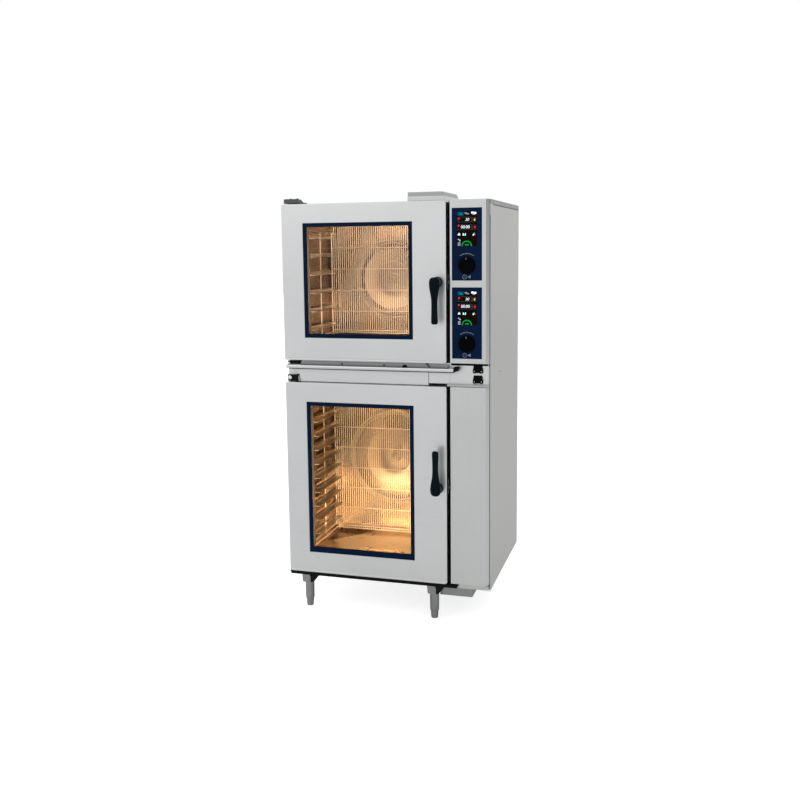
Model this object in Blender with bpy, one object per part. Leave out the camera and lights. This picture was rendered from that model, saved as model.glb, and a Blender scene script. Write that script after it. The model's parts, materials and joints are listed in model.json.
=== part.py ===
"""Two-deck combi steamer oven: a six-level oven stacked on a ten-level oven, on four adjustable legs.

Metres, +Z up. The floor is Z = 0, the doors face -Y, and +X is to the right of someone facing them.
Across the front, places are given from the left edge of the doors with across(), and depths from the
doors' outer face with back(). Heights are above the floor. Both ovens share one plan, so each piece that
they have in common is made once for each oven by the same function.
"""

import math
from types import SimpleNamespace

import bmesh
import bpy
from mathutils import Matrix, Vector

# ---- Driving dimensions ------------------------------------------------------------------------------

# The tower
BODY_WIDTH = 1.000
BODY_DEPTH = 0.800  # doors' outer face to the back panel's outer face
BASE_HEIGHT = 0.187  # floor to the underside of the base
LOWER_DOOR_LIFT = 0.013  # underside of the base to the lower door
LOWER_DOOR_HEIGHT = 0.945
STACK_HEIGHT = 0.106  # lower door's top to upper door's bottom
UPPER_DOOR_HEIGHT = 0.739
COVER_RISE = 0.003  # upper door's top to the top of the cover
BODY_LEFT_INSET = 0.006  # doors' left edge to the left side panel
COLUMN_WIDTH = 0.183
SHEET = 0.0015  # folded steel sheet
TOUCH = 0.0003  # gap left between pieces that touch

# Doors
DOOR_THICKNESS = 0.068
DOOR_GAP = 0.017  # door's right edge to the column
SEAL_DEPTH = 0.030  # door's back face to the ovens' front flange
SEAL_WIDTH = 0.012
SEAL_GAP = 0.0005  # seal to the door's back face
WINDOW_LEFT = 0.107  # door's left edge to the window
WINDOW_RIGHT = 0.158  # window to the door's right edge
GLASS_THICKNESS = 0.006
GLASS_RECESS = 0.0005

# Door hinges, on one upright axis at the left
HINGE_FROM_LEFT = 0.018
HINGE_BACK = 0.034
PIN_RADIUS = 0.006
PIN_CLEARANCE = 0.0006
PIN_REACH = 0.014  # into the door
HINGE_PLATE = 0.007
HINGE_RIM = 0.008  # top hinge's plate past its block
HINGE_PLATE_LENGTH = 0.034  # axis to the middle plate's right edge
HINGE_START = 0.010  # hinge brackets' left end to the axis
TOP_HINGE_LENGTH = 0.077
ARM_FRONT = 0.010
ARM_BACK = 0.048
UPPER_ARM_LENGTH = 0.071
UPPER_ARM_HEIGHT = 0.019
UPPER_ARM_GAP = 0.005  # arm to the upper door
LOWER_ARM_LENGTH = 0.056
LOWER_ARM_HEIGHT = 0.032
LOWER_ARM_GAP = 0.003  # arm to the lower door

# Handles and latches
HUB_FROM_RIGHT = 0.040  # door's right edge to the handle's axis
HUB_RADIUS = 0.0245
HUB_TAPER = 0.94  # front radius as a share of the back radius
HUB_GAP = 0.0005  # hub to the door's outer face
HANDLE_REACH = 0.076  # doors' outer face to the front of the lever
LEVER_LENGTH = 0.190  # handle's axis to the lever's free end
LEVER_FRONT = 0.0155  # greatest half thickness
# The lever, from beyond the hub to its free end: distance from the hub's axis, half width, half thickness
LEVER_SECTIONS = (
    (-HUB_RADIUS, 0.0080, 0.0060),
    (-0.0180, 0.0190, 0.0125),
    (0.0000, 0.0255, LEVER_FRONT),
    (0.0300, 0.0225, 0.0145),
    (0.0600, 0.0165, 0.0125),
    (0.0920, 0.0140, 0.0110),
    (0.1400, 0.0148, 0.0105),
    (LEVER_LENGTH, 0.0160, 0.0100),
)
SPINDLE_RADIUS = 0.006
SPINDLE_CLEARANCE = 0.0012
TONGUE_LENGTH = 0.050
TONGUE_HEIGHT = 0.016
TONGUE_THICKNESS = 0.008
TONGUE_SHOULDER = 0.001  # spindle's end behind the tongue
TONGUE_BACK = 0.030
TONGUE_CLEARANCE = 0.002

# Cavities
CAVITY_LEFT = 0.055
CAVITY_RIGHT_MARGIN = 0.095  # cavity to the door's right edge
CAVITY_REAR_SPACE = 0.180  # cavity's rear wall to the back panel's outer face
DRAIN_RADIUS = 0.022
DRAIN_BACK = 0.188

# Fan, its guard and the ring heater
FAN_SPACE = 0.120  # guard to the cavity's rear wall
GUARD_ROD = 0.005
GUARD_BARS = 8
GUARD_MARGIN = 0.012
WHEEL_RADIUS = 0.155
WHEEL_INLET_RADIUS = 0.082
WHEEL_DEPTH = 0.055
WHEEL_BLADES = 8
WHEEL_HUB_RADIUS = 0.024
WHEEL_HUB_LENGTH = 0.018
WHEEL_TO_WALL = 0.012
SHAFT_RADIUS = 0.008
SHAFT_CLEARANCE = 0.004
SHAFT_REACH = 0.030  # behind the cavity's rear wall
MOTOR_RADIUS = 0.060
MOTOR_TO_PANEL = 0.053  # motor's end to the back panel
MOTOR_PLATE = 0.006
HEATER_TUBE_RADIUS = 0.0045
HEATER_RING_PITCH = 0.022
HEATER_TO_WALL = 0.050
HEATER_TIE = 0.7  # half width of its bars as a share of the tube's radius

# Hanging racks
RACK_FROM_WALL = 0.025  # cavity wall to the middle of the rack's posts
RACK_FRONT = 0.130
RACK_TO_GUARD = 0.035
RACK_POST = 0.008
RAIL_WIDTH = 0.054
RAIL_THICKNESS = 0.004
RACK_FOOT = 0.045  # lowest rail to the posts' lower ends
RACK_HEAD = 0.040  # highest rail to the posts' upper ends

# Lamps
LAMP_RADIUS = 0.030
LAMP_TAPER = 0.8  # lower radius as a share of the upper radius
LAMP_DEPTH = 0.012
LAMP_FROM_RIGHT = 0.090
LAMP_BACK = 0.300

# Control column
COLUMN_CHAMFER = 0.0175
COLUMN_DEPTH = 0.0965
COLUMN_RISE = 0.0035  # upper column's bottom above the upper door's bottom
LOWER_COLUMN_LIFT = 0.007  # lower column's bottom above the lower door's bottom
PANEL_WIDTH = 0.138
PANEL_FROM_COLUMN = 0.010
PANEL_TOP_MARGIN = 0.0375
PANEL_BOTTOM_MARGIN = 0.022
PANEL_SPACING = 0.031  # between the two panels
PANEL_THICKNESS = 0.005
PANEL_GAP = 0.0005
KNOB_RADIUS = 0.039
KNOB_TAPER = 0.92  # front radius as a share of the back radius
KNOB_DEPTH = 0.018
KNOB_GAP = 0.001
KNOB_HEIGHT = 0.0685  # above the panel's lower edge
KNOB_STEM_RADIUS = 0.006
KNOB_STEM_LENGTH = 0.030
KNOB_STEM_CLEARANCE = 0.001

# Stacking frame, the fascia right of it and the probe socket covers
FASCIA_BACK = 0.020
FASCIA_LAP = 0.0885  # fascia's left edge to the doors' right edge
FASCIA_DEPTH = 0.060
FASCIA_LEDGE = 0.012
FASCIA_RIGHT_INSET = 0.005
FRAME_GAP = 0.002  # stacking frame to the lower door's level, and to the fascia
FLAP_FROM_RIGHT = 0.032  # right side panel to the covers
FLAP_WIDTH = 0.0485
FLAP_HEIGHT = 0.0385
FLAP_THICKNESS = 0.005
FLAP_OFF_FASCIA = 0.0025
FLAP_PITCH = 0.0475
FLAP_TOP_MARGIN = 0.0045
FLAP_PIN_DROP = 0.0025  # cover's top edge to its pin
FLAP_CORNER = 0.007

# Drip gutter and strip
GUTTER_LEFT = 0.0195
GUTTER_PAST_DOOR = 0.059
GUTTER_REACH = 0.032  # in front of the doors' outer face
GUTTER_DROP = 0.0195  # upper door's bottom to the gutter's lip
GUTTER_HEIGHT = 0.016
GUTTER_END = 0.020
STRIP_PAST_DOOR = 0.053
STRIP_REACH = 0.004
STRIP_DEPTH = 0.0125
STRIP_HEIGHT = 0.013
STRIP_SLOPE = 0.008
STRIP_GAP = 0.0005

# Top cover and exhaust chimney
COVER_FLANGE = 0.025
CHIMNEY_FROM_RIGHT = 0.228  # right side panel to the chimney
CHIMNEY_WIDTH = 0.183
CHIMNEY_SLANT = 0.016
CHIMNEY_HEIGHT = 0.044
CHIMNEY_FRONT = 0.120
CHIMNEY_LENGTH = 0.300
THROAT_MARGIN = 0.020
THROAT_WALL = 0.006
THROAT_LENGTH = 0.180

# Base, drain box and legs
SIDE_DROP = 0.010  # side panels' lower edge below the base
BASE_SHEET = 0.002
BASE_FLANGE = 0.010
DRAIN_BOX_FROM_LEG = 0.020  # front right leg's axis to the box
DRAIN_BOX_WIDTH = 0.160
DRAIN_BOX_CLEARANCE = 0.0065
DRAIN_BOX_LENGTH = 0.300
DRAIN_BOX_HEIGHT = 0.081
LEG_LEFT = 0.071
LEG_FROM_DOOR_EDGE = 0.0825  # right legs' axes to the doors' right edge
LEG_FRONT = 0.080
LEG_REAR_SPACE = 0.080  # rear legs' axes to the back panel's outer face
LEG_RADIUS = 0.0235
LEG_TAPER = 0.92  # tube's lower radius as a share of its upper radius
LEG_BRACKET_HEIGHT = 0.062
LEG_BRACKET_HALF = 0.034
LEG_BRACKET_LIP = 0.004
LEG_GUSSET = 0.070  # leg's axis to the end of its gusset
TIP_RADIUS = 0.0185
TIP_TAPER = 0.90  # tip's lower radius as a share of its upper radius
TIP_HEIGHT = 0.032
TIP_STEM_RADIUS = 0.013
TIP_STEM_LENGTH = 0.055
TIP_CLEARANCE = 0.001
TIP_END_SPACE = 0.015  # above the tip's stem, in the leg's bore

# Back panel and what joins it to the kitchen
LOUVRE_COUNT = 6
LOUVRE_LENGTH = 0.120
LOUVRE_HEIGHT = 0.008
LOUVRE_PITCH = 0.022
CONNECTION_REACH = 0.030
CONNECTION_PLATE = 0.004
CONNECTION_MARGIN = 0.030  # round the stubs' axes
CONNECTION_HEIGHT = 0.103  # above the base
WATER_INLET_RADIUS = 0.013
WATER_INLET_PITCH = 0.045
DRAIN_SPIGOT_RADIUS = 0.020
DRAIN_SPIGOT_PLACE = 0.100

# Mounting plate of the electronics, in the right-hand compartment
TRAY_FROM_SIDE = 0.020
TRAY_FRONT = 0.160
TRAY_REAR_SPACE = 0.280
TRAY_ENDS = 0.120
TRAY_PLATE = 0.003
UNIT_COUNT = 3
UNIT_DEPTH = 0.060
UNIT_MARGIN = 0.030

# Facets round a circle, and the angle up to which a mesh is shaded smooth
ROUND = 24
SMALL_ROUND = 16
SMOOTH_ANGLE = math.radians(40)

# ---- What follows from them --------------------------------------------------------------------------

LEFT = -BODY_WIDTH / 2
FACE = HANDLE_REACH - (HANDLE_REACH + BODY_DEPTH + CONNECTION_REACH) / 2  # Y of the doors' outer face
LOWER_DOOR_BOTTOM = BASE_HEIGHT + LOWER_DOOR_LIFT
LOWER_DOOR_TOP = LOWER_DOOR_BOTTOM + LOWER_DOOR_HEIGHT
UPPER_DOOR_BOTTOM = LOWER_DOOR_TOP + STACK_HEIGHT
UPPER_DOOR_TOP = UPPER_DOOR_BOTTOM + UPPER_DOOR_HEIGHT
COVER_TOP = UPPER_DOOR_TOP + COVER_RISE
FLANGE_BACK = DOOR_THICKNESS + SEAL_DEPTH
COLUMN_LEFT = BODY_WIDTH - COLUMN_WIDTH
DOOR_WIDTH = COLUMN_LEFT - DOOR_GAP
CAVITY_RIGHT = DOOR_WIDTH - CAVITY_RIGHT_MARGIN
CAVITY_MIDDLE = (CAVITY_LEFT + CAVITY_RIGHT) / 2
CAVITY_BACK = BODY_DEPTH - CAVITY_REAR_SPACE
GUARD_BACK = CAVITY_BACK - FAN_SPACE
FASCIA_LEFT = DOOR_WIDTH - FASCIA_LAP
UPPER_COLUMN_BOTTOM = UPPER_DOOR_BOTTOM + COLUMN_RISE
HINGE_PLATE_RIGHT = HINGE_FROM_LEFT + HINGE_PLATE_LENGTH
PANEL_HEIGHT = (
    COVER_TOP - UPPER_COLUMN_BOTTOM - PANEL_TOP_MARGIN - PANEL_BOTTOM_MARGIN - PANEL_SPACING
) / 2
STRIP_RIGHT = DOOR_WIDTH + STRIP_PAST_DOOR
LEG_RIGHT = DOOR_WIDTH - LEG_FROM_DOOR_EDGE
LEG_REAR = BODY_DEPTH - LEG_REAR_SPACE


def make_oven(name, door_bottom, door_height, **sizes):
    """What differs between the two ovens. Heights inside a door are from its lower edge."""
    oven = SimpleNamespace(name=name, door_bottom=door_bottom, door_height=door_height, **sizes)
    oven.door_top = door_bottom + door_height
    oven.floor = door_bottom + oven.cavity_sill
    oven.ceiling = oven.door_top - oven.cavity_head
    oven.fan_height = (oven.floor + oven.ceiling) / 2
    oven.sill = door_bottom + oven.window_sill
    oven.head = oven.door_top - oven.window_head
    oven.hub = door_bottom + oven.hub_height
    oven.level_pitch = (oven.ceiling - oven.floor - oven.first_level - oven.top_level) / (
        oven.levels - 1
    )
    return oven


UPPER = make_oven(
    "upper",
    UPPER_DOOR_BOTTOM,
    UPPER_DOOR_HEIGHT,
    flange_lift=0.002,
    flange_drop=0.0,
    window_sill=0.109,
    window_head=0.090,
    hub_height=0.374,
    lever_way=-1,
    cavity_sill=0.074,
    cavity_head=0.070,
    levels=6,
    first_level=0.062,
    top_level=0.090,
    heater_radius=0.200,
    guard_rows=3,
)
LOWER = make_oven(
    "lower",
    LOWER_DOOR_BOTTOM,
    LOWER_DOOR_HEIGHT,
    flange_lift=0.0,
    flange_drop=0.002,
    window_sill=0.104,
    window_head=0.094,
    hub_height=0.465,
    lever_way=1,
    cavity_sill=0.065,
    cavity_head=0.075,
    levels=10,
    first_level=0.0915,
    top_level=0.070,
    heater_radius=0.250,
    guard_rows=4,
)
OVENS = (UPPER, LOWER)


def across(distance):
    """X of a place this far right of the doors' left edge."""
    return LEFT + distance


def back(distance):
    """Y of a place this far behind the doors' outer face."""
    return FACE + distance


# ---- Materials ---------------------------------------------------------------------------------------


def make_material(name, colour, roughness, metallic, alpha=1.0):
    material = bpy.data.materials.new(name)
    material.use_nodes = True
    shader = material.node_tree.nodes["Principled BSDF"]
    shader.inputs["Base Color"].default_value = (*colour, 1.0)
    shader.inputs["Roughness"].default_value = roughness
    shader.inputs["Metallic"].default_value = metallic
    shader.inputs["Alpha"].default_value = alpha
    return material


# ---- Modelling helpers -------------------------------------------------------------------------------


def link(name, bm, material=None, smooth_angle=None):
    """Makes an object of a bmesh that is in world coordinates."""
    bmesh.ops.recalc_face_normals(bm, faces=bm.faces)
    mesh = bpy.data.meshes.new(name)
    bm.to_mesh(mesh)
    bm.free()
    if smooth_angle is not None:
        mesh.shade_smooth()
        mesh.set_sharp_from_angle(angle=smooth_angle)
    if material is not None:
        mesh.materials.append(material)
    made = bpy.data.objects.new(name, mesh)
    bpy.context.scene.collection.objects.link(made)
    return made


def add_box(bm, low, high):
    size = [b - a for a, b in zip(low, high)]
    middle = [(a + b) / 2 for a, b in zip(low, high)]
    matrix = Matrix.Translation(middle) @ Matrix.Diagonal((*size, 1.0))
    bmesh.ops.create_cube(bm, size=1.0, matrix=matrix)


def boxes(*corner_pairs):
    bm = bmesh.new()
    for low, high in corner_pairs:
        add_box(bm, low, high)
    return bm


TURN_TO_AXIS = {
    "X": Matrix.Rotation(math.pi / 2, 4, "Y"),
    "Y": Matrix.Rotation(-math.pi / 2, 4, "X"),
    "Z": Matrix.Identity(4),
}


def add_cylinder(bm, start, axis, length, radius, end_radius=None, segments=ROUND):
    """A closed cylinder, or cone, from start along +axis."""
    offset = {"X": (length / 2, 0, 0), "Y": (0, length / 2, 0), "Z": (0, 0, length / 2)}[axis]
    matrix = Matrix.Translation(Vector(start) + Vector(offset)) @ TURN_TO_AXIS[axis]
    bmesh.ops.create_cone(
        bm,
        cap_ends=True,
        segments=segments,
        radius1=radius,
        radius2=radius if end_radius is None else end_radius,
        depth=length,
        matrix=matrix,
    )


def cylinder(start, axis, length, radius, end_radius=None, segments=ROUND):
    bm = bmesh.new()
    add_cylinder(bm, start, axis, length, radius, end_radius, segments)
    return bm


def turned(profile, x, z):
    """A shape turned about the Y axis through (x, z), from its (depth, radius) points, first to last."""
    bm = bmesh.new()
    rings = []
    for depth, radius in profile:
        corners = 1 if radius == 0.0 else ROUND
        ring = []
        for index in range(corners):
            angle = math.tau * index / ROUND
            point = (x + radius * math.cos(angle), back(depth), z + radius * math.sin(angle))
            ring.append(bm.verts.new(point))
        rings.append(ring)
    for first, second in zip(rings, rings[1:]):
        for index in range(ROUND):
            following = (index + 1) % ROUND
            corners = [first[index % len(first)], first[following % len(first)]]
            corners += [second[following % len(second)], second[index % len(second)]]
            bm.faces.new(dict.fromkeys(corners))
    return bm


def prism(outline, axis, start, end):
    """An outline extruded along axis. Its points are (x, z) for Y, and (x, y) for Z."""
    bm = bmesh.new()
    if axis == "Y":
        points = [(a, start, b) for a, b in outline]
        way = (0, end - start, 0)
    else:
        points = [(a, b, start) for a, b in outline]
        way = (0, 0, end - start)
    face = bm.faces.new([bm.verts.new(p) for p in points])
    grown = bmesh.ops.extrude_face_region(bm, geom=[face])
    moved = [v for v in grown["geom"] if isinstance(v, bmesh.types.BMVert)]
    bmesh.ops.translate(bm, verts=moved, vec=way)
    return bm


def helper(name, bm):
    """A shape that only cuts or adds to a piece, so it isn't a piece itself."""
    made = link(name, bm)
    made.hide_render = True
    made.display_type = "WIRE"
    return made


def use_boolean(piece, shape, operation, label):
    modifier = piece.modifiers.new(label, "BOOLEAN")
    modifier.operation = operation
    modifier.solver = "EXACT"
    modifier.object = shape


def cut(piece, bm, label):
    use_boolean(piece, helper(f"{piece.name}_{label}", bm), "DIFFERENCE", label)


def join(piece, bm, label):
    use_boolean(piece, helper(f"{piece.name}_{label}", bm), "UNION", label)


def axis_at(name, place, parent=None):
    """An empty on a joint's axis, which carries the pieces that move about it."""
    empty = bpy.data.objects.new(name, None)
    empty.empty_display_size = 0.03
    bpy.context.scene.collection.objects.link(empty)
    empty["place"] = place
    if parent is None:
        empty.location = place
    else:
        empty.parent = parent
        empty.location = Vector(place) - Vector(parent["place"])
    return empty


def carry(empty, *pieces):
    """Parents pieces, whose meshes are in world coordinates, to an empty without moving them."""
    for piece in pieces:
        piece.parent = empty
        piece.location = -Vector(empty["place"])


# ---- Casing ------------------------------------------------------------------------------------------


def make_side_panels(steel):
    bottom = BASE_HEIGHT - SIDE_DROP
    top = COVER_TOP - COVER_FLANGE - TOUCH
    rear = BODY_DEPTH - SHEET - TOUCH
    left = boxes(
        (
            (across(BODY_LEFT_INSET), back(FLANGE_BACK + SHEET + TOUCH), bottom),
            (across(BODY_LEFT_INSET + SHEET), back(rear), top),
        )
    )
    link("left_side_panel", left, steel)
    right = boxes(
        (
            (across(BODY_WIDTH - SHEET), back(FASCIA_BACK - TOUCH), bottom),
            (across(BODY_WIDTH), back(rear), top),
        )
    )
    link("right_side_panel", right, steel)


def make_back_panel(steel):
    low = (across(BODY_LEFT_INSET), back(BODY_DEPTH - SHEET), BASE_HEIGHT - SIDE_DROP)
    high = (across(BODY_WIDTH), back(BODY_DEPTH), COVER_TOP - COVER_FLANGE - TOUCH)
    panel = link("back_panel", boxes((low, high)), steel)
    louvres = []
    for oven in OVENS:
        start = oven.ceiling - LOUVRE_COUNT * LOUVRE_PITCH
        for index in range(LOUVRE_COUNT):
            height = start + index * LOUVRE_PITCH
            louvres.append(
                (
                    (across(COLUMN_LEFT), low[1] - SHEET, height),
                    (across(COLUMN_LEFT + LOUVRE_LENGTH), high[1] + SHEET, height + LOUVRE_HEIGHT),
                )
            )
    cut(panel, boxes(*louvres), "louvres")


def make_top_cover(steel):
    front = back(FLANGE_BACK + SHEET)
    low_edge = COVER_TOP - COVER_FLANGE
    left = across(BODY_LEFT_INSET)
    right = across(BODY_WIDTH)
    rear = back(BODY_DEPTH)
    cover = link("top_cover", boxes(((left, front, low_edge), (right, rear, COVER_TOP))), steel)
    inside = boxes(
        ((left + SHEET, front - SHEET, low_edge - SHEET), (right - SHEET, rear - SHEET, COVER_TOP - SHEET))
    )
    cut(cover, inside, "inside")
    strip = boxes(
        ((right - SHEET, back(FASCIA_BACK - TOUCH), low_edge), (right, front + SHEET, COVER_TOP))
    )
    join(cover, strip, "front_strip")


def column_outline(inset):
    """Plan of the right column, seen from above, drawn in by inset on its visible sides."""
    right = BODY_WIDTH - SHEET - TOUCH
    corner = COLUMN_CHAMFER
    slope = inset * (math.sqrt(2) - 1)
    return [
        (across(COLUMN_LEFT + inset), back(COLUMN_DEPTH + inset)),
        (across(COLUMN_LEFT + inset), back(inset)),
        (across(right - corner - slope), back(inset)),
        (across(right - inset), back(corner + slope)),
        (across(right - inset), back(COLUMN_DEPTH + inset)),
    ]


def panel_bottom(index):
    """Lower edge of a control panel: 0 is the upper oven's and 1 is the lower oven's."""
    return COVER_TOP - PANEL_TOP_MARGIN - PANEL_HEIGHT - index * (PANEL_HEIGHT + PANEL_SPACING)


def make_columns(steel):
    upper = link("control_column", prism(column_outline(0.0), "Z", UPPER_COLUMN_BOTTOM, COVER_TOP), steel)
    hollow = prism(column_outline(SHEET), "Z", UPPER_COLUMN_BOTTOM + SHEET, COVER_TOP - SHEET)
    cut(upper, hollow, "inside")
    left = across(COLUMN_LEFT + PANEL_FROM_COLUMN)
    windows = []
    for index in range(len(OVENS)):
        bottom = panel_bottom(index)
        windows.append(
            (
                (left, back(-SHEET), bottom),
                (left + PANEL_WIDTH, back(2 * SHEET), bottom + PANEL_HEIGHT),
            )
        )
    cut(upper, boxes(*windows), "panel_openings")
    bottom = LOWER_DOOR_BOTTOM + LOWER_COLUMN_LIFT
    lower = link("lower_column_panel", prism(column_outline(0.0), "Z", bottom, LOWER_DOOR_TOP), steel)
    cut(lower, prism(column_outline(SHEET), "Z", bottom + SHEET, LOWER_DOOR_TOP - SHEET), "inside")


def hinge_arms():
    """Lowest and highest corners of the middle hinge's two arms: the upper door's, then the lower's."""
    left = HINGE_FROM_LEFT - HINGE_START
    upper_top = UPPER_DOOR_BOTTOM - UPPER_ARM_GAP
    lower_bottom = LOWER_DOOR_TOP + LOWER_ARM_GAP
    return (
        (
            (across(left), back(ARM_FRONT), upper_top - UPPER_ARM_HEIGHT),
            (across(left + UPPER_ARM_LENGTH), back(ARM_BACK), upper_top),
        ),
        (
            (across(left), back(ARM_FRONT), lower_bottom),
            (across(left + LOWER_ARM_LENGTH), back(ARM_BACK), lower_bottom + LOWER_ARM_HEIGHT),
        ),
    )


def make_stacking_frame(steel):
    """A long pan between the two doors, notched round the middle hinge's arms."""
    bottom = LOWER_DOOR_TOP + FRAME_GAP
    top = UPPER_DOOR_BOTTOM - FRAME_GAP
    left = HINGE_PLATE_RIGHT + FRAME_GAP / 2
    right = FASCIA_LEFT - FRAME_GAP
    rear = FASCIA_BACK + FASCIA_DEPTH
    pan = link(
        "stacking_frame",
        boxes(((across(left), back(FASCIA_BACK), bottom), (across(right), back(rear), top))),
        steel,
    )
    inside = boxes(
        (
            (across(left + SHEET), back(FASCIA_BACK + SHEET), bottom + SHEET),
            (across(right - SHEET), back(rear + SHEET), top - SHEET),
        )
    )
    cut(pan, inside, "inside")
    upper_arm, lower_arm = hinge_arms()
    start = across(left - SHEET)
    upper_notch = (
        (start, upper_arm[0][1], upper_arm[0][2] - FRAME_GAP),
        (upper_arm[1][0] + FRAME_GAP, upper_arm[1][1] + FRAME_GAP, top + SHEET),
    )
    lower_notch = (
        (start, lower_arm[0][1], bottom - SHEET),
        (lower_arm[1][0] + FRAME_GAP, lower_arm[1][1] + FRAME_GAP, lower_arm[1][2] + FRAME_GAP),
    )
    cut(pan, boxes(upper_notch, lower_notch), "hinge_notches")


def make_fascia(steel):
    """Right of the stacking frame: the sheet that the probe sockets are in."""
    right = BODY_WIDTH - SHEET - TOUCH - FASCIA_RIGHT_INSET
    rear = FASCIA_BACK + FASCIA_DEPTH
    bottom = LOWER_DOOR_TOP + FASCIA_LEDGE
    top = UPPER_DOOR_BOTTOM - FRAME_GAP
    fascia = link(
        "socket_fascia",
        boxes(((across(FASCIA_LEFT), back(FASCIA_BACK), bottom), (across(right), back(rear), top))),
        steel,
    )
    head = boxes(
        (
            (across(COLUMN_LEFT), back(FASCIA_BACK), top - 2 * SHEET),
            (across(right), back(rear), UPPER_COLUMN_BOTTOM - TOUCH),
        )
    )
    join(fascia, head, "head")
    inside = boxes(
        (
            (across(FASCIA_LEFT + SHEET), back(FASCIA_BACK + SHEET), bottom + SHEET),
            (across(right - SHEET), back(rear + SHEET), top - 3 * SHEET),
        )
    )
    cut(fascia, inside, "inside")


def make_base_frame(steel):
    """A shallow tray under both ovens, with the sill below the lower column at its right end."""
    right = BODY_WIDTH - SHEET - TOUCH - FRAME_GAP / 2
    low = (across(BODY_LEFT_INSET + SHEET + TOUCH), back(STRIP_DEPTH), BASE_HEIGHT)
    high = (across(right), back(BODY_DEPTH - SHEET - TOUCH), BASE_HEIGHT + BASE_FLANGE)
    tray = link("base_frame", boxes((low, high)), steel)
    inside = boxes(
        (
            (low[0] + BASE_SHEET, low[1] + BASE_SHEET, low[2] + BASE_SHEET),
            (high[0] - BASE_SHEET, high[1] - BASE_SHEET, high[2] + BASE_SHEET),
        )
    )
    cut(tray, inside, "inside")
    sill = boxes(
        (
            (across(STRIP_RIGHT + FRAME_GAP), back(STRIP_REACH), BASE_HEIGHT),
            (
                across(right),
                back(STRIP_DEPTH + BASE_SHEET / 2),
                LOWER_DOOR_BOTTOM + LOWER_COLUMN_LIFT - TOUCH,
            ),
        )
    )
    join(tray, sill, "sill")


def make_chimney(steel):
    bottom = COVER_TOP + TOUCH
    top = bottom + CHIMNEY_HEIGHT
    right = BODY_WIDTH - CHIMNEY_FROM_RIGHT
    left = right - CHIMNEY_WIDTH
    rear = CHIMNEY_FRONT + CHIMNEY_LENGTH
    outline = [
        (across(left), bottom),
        (across(right), bottom),
        (across(right - CHIMNEY_SLANT), top),
        (across(left), top),
    ]
    chimney = link("exhaust_chimney", prism(outline, "Y", back(CHIMNEY_FRONT), back(rear)), steel)
    throat = boxes(
        (
            (across(left + THROAT_MARGIN), back(rear - THROAT_LENGTH), bottom + THROAT_WALL),
            (across(right - CHIMNEY_SLANT - THROAT_MARGIN), back(rear + SHEET), top - THROAT_WALL),
        )
    )
    cut(chimney, throat, "throat")


def make_drain_box(steel):
    top = BASE_HEIGHT - TOUCH
    front = LEG_FRONT + LEG_RADIUS + DRAIN_BOX_CLEARANCE
    left = LEG_RIGHT + DRAIN_BOX_FROM_LEG
    low = (across(left), back(front), top - DRAIN_BOX_HEIGHT)
    high = (across(left + DRAIN_BOX_WIDTH), back(front + DRAIN_BOX_LENGTH), top)
    box = link("drain_box", boxes((low, high)), steel)
    hollow = boxes(
        (
            (low[0] + BASE_SHEET, low[1] + BASE_SHEET, low[2] + BASE_SHEET),
            (high[0] - BASE_SHEET, high[1] - BASE_SHEET, high[2] + BASE_SHEET),
        )
    )
    cut(box, hollow, "hollow")


def make_rear_connections(brass):
    """Two water inlets and the drain spigot, on one plate low on the back."""
    plate_front = BODY_DEPTH + TOUCH
    plate_back = plate_front + CONNECTION_PLATE
    height = BASE_HEIGHT + CONNECTION_HEIGHT
    margin = CONNECTION_MARGIN
    first = COLUMN_LEFT - WATER_INLET_RADIUS
    low = (across(first - margin), back(plate_front), height - margin)
    high = (across(first + DRAIN_SPIGOT_PLACE + margin), back(plate_back), height + margin)
    plate = link("rear_connections", boxes((low, high)), brass)
    stubs = bmesh.new()
    sunk = CONNECTION_PLATE / 2
    for place, radius in (
        (0.0, WATER_INLET_RADIUS),
        (WATER_INLET_PITCH, WATER_INLET_RADIUS),
        (DRAIN_SPIGOT_PLACE, DRAIN_SPIGOT_RADIUS),
    ):
        start = (across(first + place), back(plate_back - sunk), height)
        length = BODY_DEPTH + CONNECTION_REACH - plate_back + sunk
        add_cylinder(stubs, start, "Y", length, radius, segments=SMALL_ROUND)
    join(plate, stubs, "stubs")


# ---- Drip gutter and strip ---------------------------------------------------------------------------


def make_drip_gutter(steel):
    """An open channel under the upper door, with a taller wall behind it and a closed right end."""
    top = UPPER_DOOR_BOTTOM - GUTTER_DROP
    bottom = top - GUTTER_HEIGHT
    rear = ARM_FRONT - FRAME_GAP
    low = (across(GUTTER_LEFT), back(-GUTTER_REACH), bottom)
    high = (across(DOOR_WIDTH + GUTTER_PAST_DOOR), back(rear), top)
    gutter = link("drip_gutter", boxes((low, high)), steel)
    channel = boxes(
        (
            (low[0] + SHEET, low[1] + SHEET, low[2] + SHEET),
            (high[0] - GUTTER_END, high[1] - SHEET, high[2] + SHEET),
        )
    )
    cut(gutter, channel, "channel")
    arm_end = HINGE_FROM_LEFT - HINGE_START + UPPER_ARM_LENGTH
    wall = boxes(
        (
            (across(arm_end + FRAME_GAP), back(rear - SHEET), bottom + SHEET / 2),
            (across(DOOR_WIDTH + DOOR_GAP / 2), back(rear), UPPER_DOOR_BOTTOM - UPPER_ARM_GAP),
        )
    )
    join(gutter, wall, "back_wall")


def make_lower_strip(black):
    top = LOWER_DOOR_BOTTOM - STRIP_GAP
    bottom = top - STRIP_HEIGHT
    outline = [
        (across(0.0), top),
        (across(STRIP_SLOPE), bottom),
        (across(STRIP_RIGHT - STRIP_SLOPE), bottom),
        (across(STRIP_RIGHT), top),
    ]
    strip = prism(outline, "Y", back(-STRIP_REACH), back(STRIP_DEPTH - TOUCH))
    link("lower_drip_strip", strip, black)


# ---- Cavities ----------------------------------------------------------------------------------------


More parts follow.
